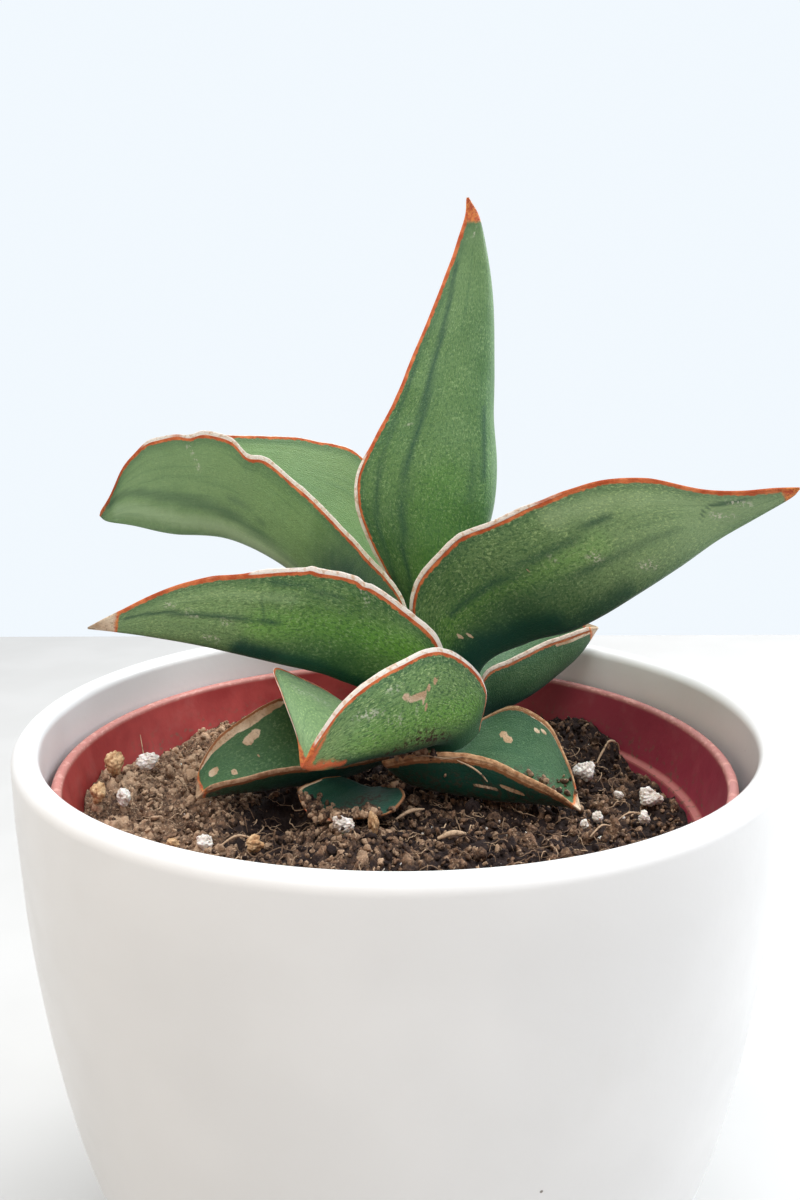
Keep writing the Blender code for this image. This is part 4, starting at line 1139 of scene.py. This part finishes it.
def make_crown(material):
    """The stub that the leaves clasp, ringed by old leaf scars."""
    low, high = box_mm("crown")
    radius = (high.x - low.x) / 2
    profile = [(0.0, low.z)]
    for i in range(CROWN_RINGS + 1):
        t = i / CROWN_RINGS
        z = low.z + (high.z - low.z) * t
        swell = min(1.0, 0.5 + 3.2 * t) * min(1.0, 4.5 * math.sqrt(max(0.0, 1.0 - t)) + 0.02)
        groove = 0.35 * abs(math.sin(t * math.pi * 6))
        profile.append((max(0.3, radius * swell - groove - 0.1), z))
    profile.append((0.0, high.z))

    def knobbly(angle, z):
        return 0.25 * noise.noise((*on_circle(2, angle), z / 2)) - 0.2

    return lathe("ringed_crown", profile, material, "stem_tissue", "crown", CROWN_CENTRE, 72, knobbly)


def obstacle_tree(pieces):
    """A search tree over the pieces, in millimetres."""
    points, faces = [], []
    for piece in pieces:
        at = len(points)
        points += [v.co / MM for v in piece.data.vertices]
        faces += [[i + at for i in polygon.vertices] for polygon in piece.data.polygons]
    return BVHTree.FromPolygons(points, faces)


def add_to_scene(name, data):
    thing = bpy.data.objects.new(name, data)
    bpy.context.scene.collection.objects.link(thing)
    return thing


def make_camera():
    data = bpy.data.cameras.new("camera")
    data.lens = CAMERA_LENS
    data.sensor_width = CAMERA_SENSOR
    data.clip_start = 0.01
    data.clip_end = 20.0
    camera = add_to_scene("camera", data)
    tilt = Matrix.Rotation(math.radians(90 - CAMERA_TILT), 4, "X")
    roll = Matrix.Rotation(math.radians(CAMERA_ROLL), 4, "Z")
    camera.matrix_world = Matrix.Translation(Vector(CAMERA_PLACE) * MM) @ tilt @ roll
    bpy.context.scene.camera = camera


def area_light(name, place, size, power, colour):
    data = bpy.data.lights.new(name, "AREA")
    data.shape = "DISK"
    data.size = size
    data.energy = power
    data.color = colour
    light = add_to_scene(name, data)
    light.location = place
    light.rotation_mode = "QUATERNION"
    light.rotation_quaternion = (Vector(LIGHT_AIM) - Vector(place)).to_track_quat("-Z", "Y")


def table_top():
    """A plain matt white table."""
    skin = Skin("table_top", Specular_IOR_Level=0.25)
    pale = skin.cloud(60.0, 2.0, 0.35, 0.7)
    skin.plug(skin.shader.inputs["Base Color"], skin.mix(pale, (0.500, 0.497, 0.487), (0.525, 0.522, 0.513)))
    skin.plug(skin.shader.inputs["Roughness"], 0.6)
    return skin.material


def make_room():
    """A plain pale room, whose light is bright behind and right, dull in front and warm at the front left."""
    world = bpy.data.worlds.new("room")
    world.use_nodes = True
    room = Nodes(world.node_tree)
    way = room.split(room.node("TexCoord").outputs["Generated"])
    front = room.mix(room.step(way["X"], 0.15, 0.85), (0.41, 0.43, 0.47), (1.19, 1.24, 1.33))
    colour = room.mix(room.step(way["Y"], -0.25, 0.25), front, ROOM_COLOUR)
    left = room.math("ADD", room.times(way["X"], -0.75), room.times(way["Y"], -0.66))
    colour = room.mix(room.step(left, 0.20, 0.85), colour, (0.58, 0.44, 0.29))
    colour = room.mix(room.node("LightPath").outputs["Is Camera Ray"], colour, ROOM_COLOUR)
    sky = room.tree.nodes["Background"].inputs
    room.plug(sky["Color"], colour)
    room.plug(sky["Strength"], room.step(way["Z"], 0.42, 1.0, 1.0, 1.6))
    return world


def make_studio():
    """A white table in a bright, even room, with the main soft light behind and to the right."""
    bpy.context.scene.view_settings.view_transform = "Standard"
    far, wide = TABLE_FAR_EDGE * MM, TABLE_REACH * MM
    mesh = bpy.data.meshes.new("table")
    corners = [(-wide, -wide, 0), (wide, -wide, 0), (wide, far, 0), (-wide, far, 0)]
    mesh.from_pydata(corners, [], [(0, 1, 2, 3)])
    mesh.materials.append(table_top())
    add_to_scene("table", mesh)
    bpy.context.scene.world = make_room()
    area_light("window", (0.62, 0.34, 0.72), 0.6, 8.0, (0.98, 0.99, 1.0))
    area_light("ceiling", (-0.12, -0.22, 0.95), 0.7, 6.0, (1.0, 1.0, 1.0))


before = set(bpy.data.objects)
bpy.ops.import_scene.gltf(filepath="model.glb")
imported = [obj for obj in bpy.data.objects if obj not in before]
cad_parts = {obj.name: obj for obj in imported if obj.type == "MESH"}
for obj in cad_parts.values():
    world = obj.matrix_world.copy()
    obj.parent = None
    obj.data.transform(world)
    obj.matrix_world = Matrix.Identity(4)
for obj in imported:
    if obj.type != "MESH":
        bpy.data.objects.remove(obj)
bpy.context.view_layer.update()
make_camera()
make_studio()

skin = leaf_skin()
leaves = [make_leaf(name, rows, 3.7 * i + 1, skin) for i, (name, rows) in enumerate(LEAVES.items())]
make_cover_pot(white_glaze())
make_nursery_pot(terracotta_plastic(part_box("nursery_pot")[1].z / MM))
crown = make_crown(stem_tissue())

rng = np.random.default_rng(SEED)
chalk, grit, peat, straw = perlite(), tan_stone(), peat_soil(), dry_fibre()
grains = []
for node in sorted(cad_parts):
    if node.startswith("perlite_"):
        grains.append(make_grain(node, rng, chalk, "perlite"))
    if node.startswith("pebble_"):
        grains.append(make_grain(node, rng, grit, "tan_stone"))

make_soil(peat)
obstacles = obstacle_tree(leaves + grains + [crown])
clods = unit_lumps(14, 3, rng, 0.85)
crumbs = unit_lumps(18, 2, rng, 0.75)
scatter("soil_clods", 650, (1.2, 3.6), clods, rng, obstacles, peat, "peat_soil", (0.0, 0.85), 0.35)
scatter("soil_crumbs", 8000, (0.35, 1.6), crumbs, rng, obstacles, peat, "peat_soil", (0.0, 1.0), 0.05)
scatter("perlite_dust", 70, (0.3, 1.2), crumbs, rng, obstacles, chalk, "perlite", (0.5, 1.0), 0.1)
make_fibres(600, rng, obstacles, straw)
drop_crumbs(crumbs, rng, obstacles, peat)
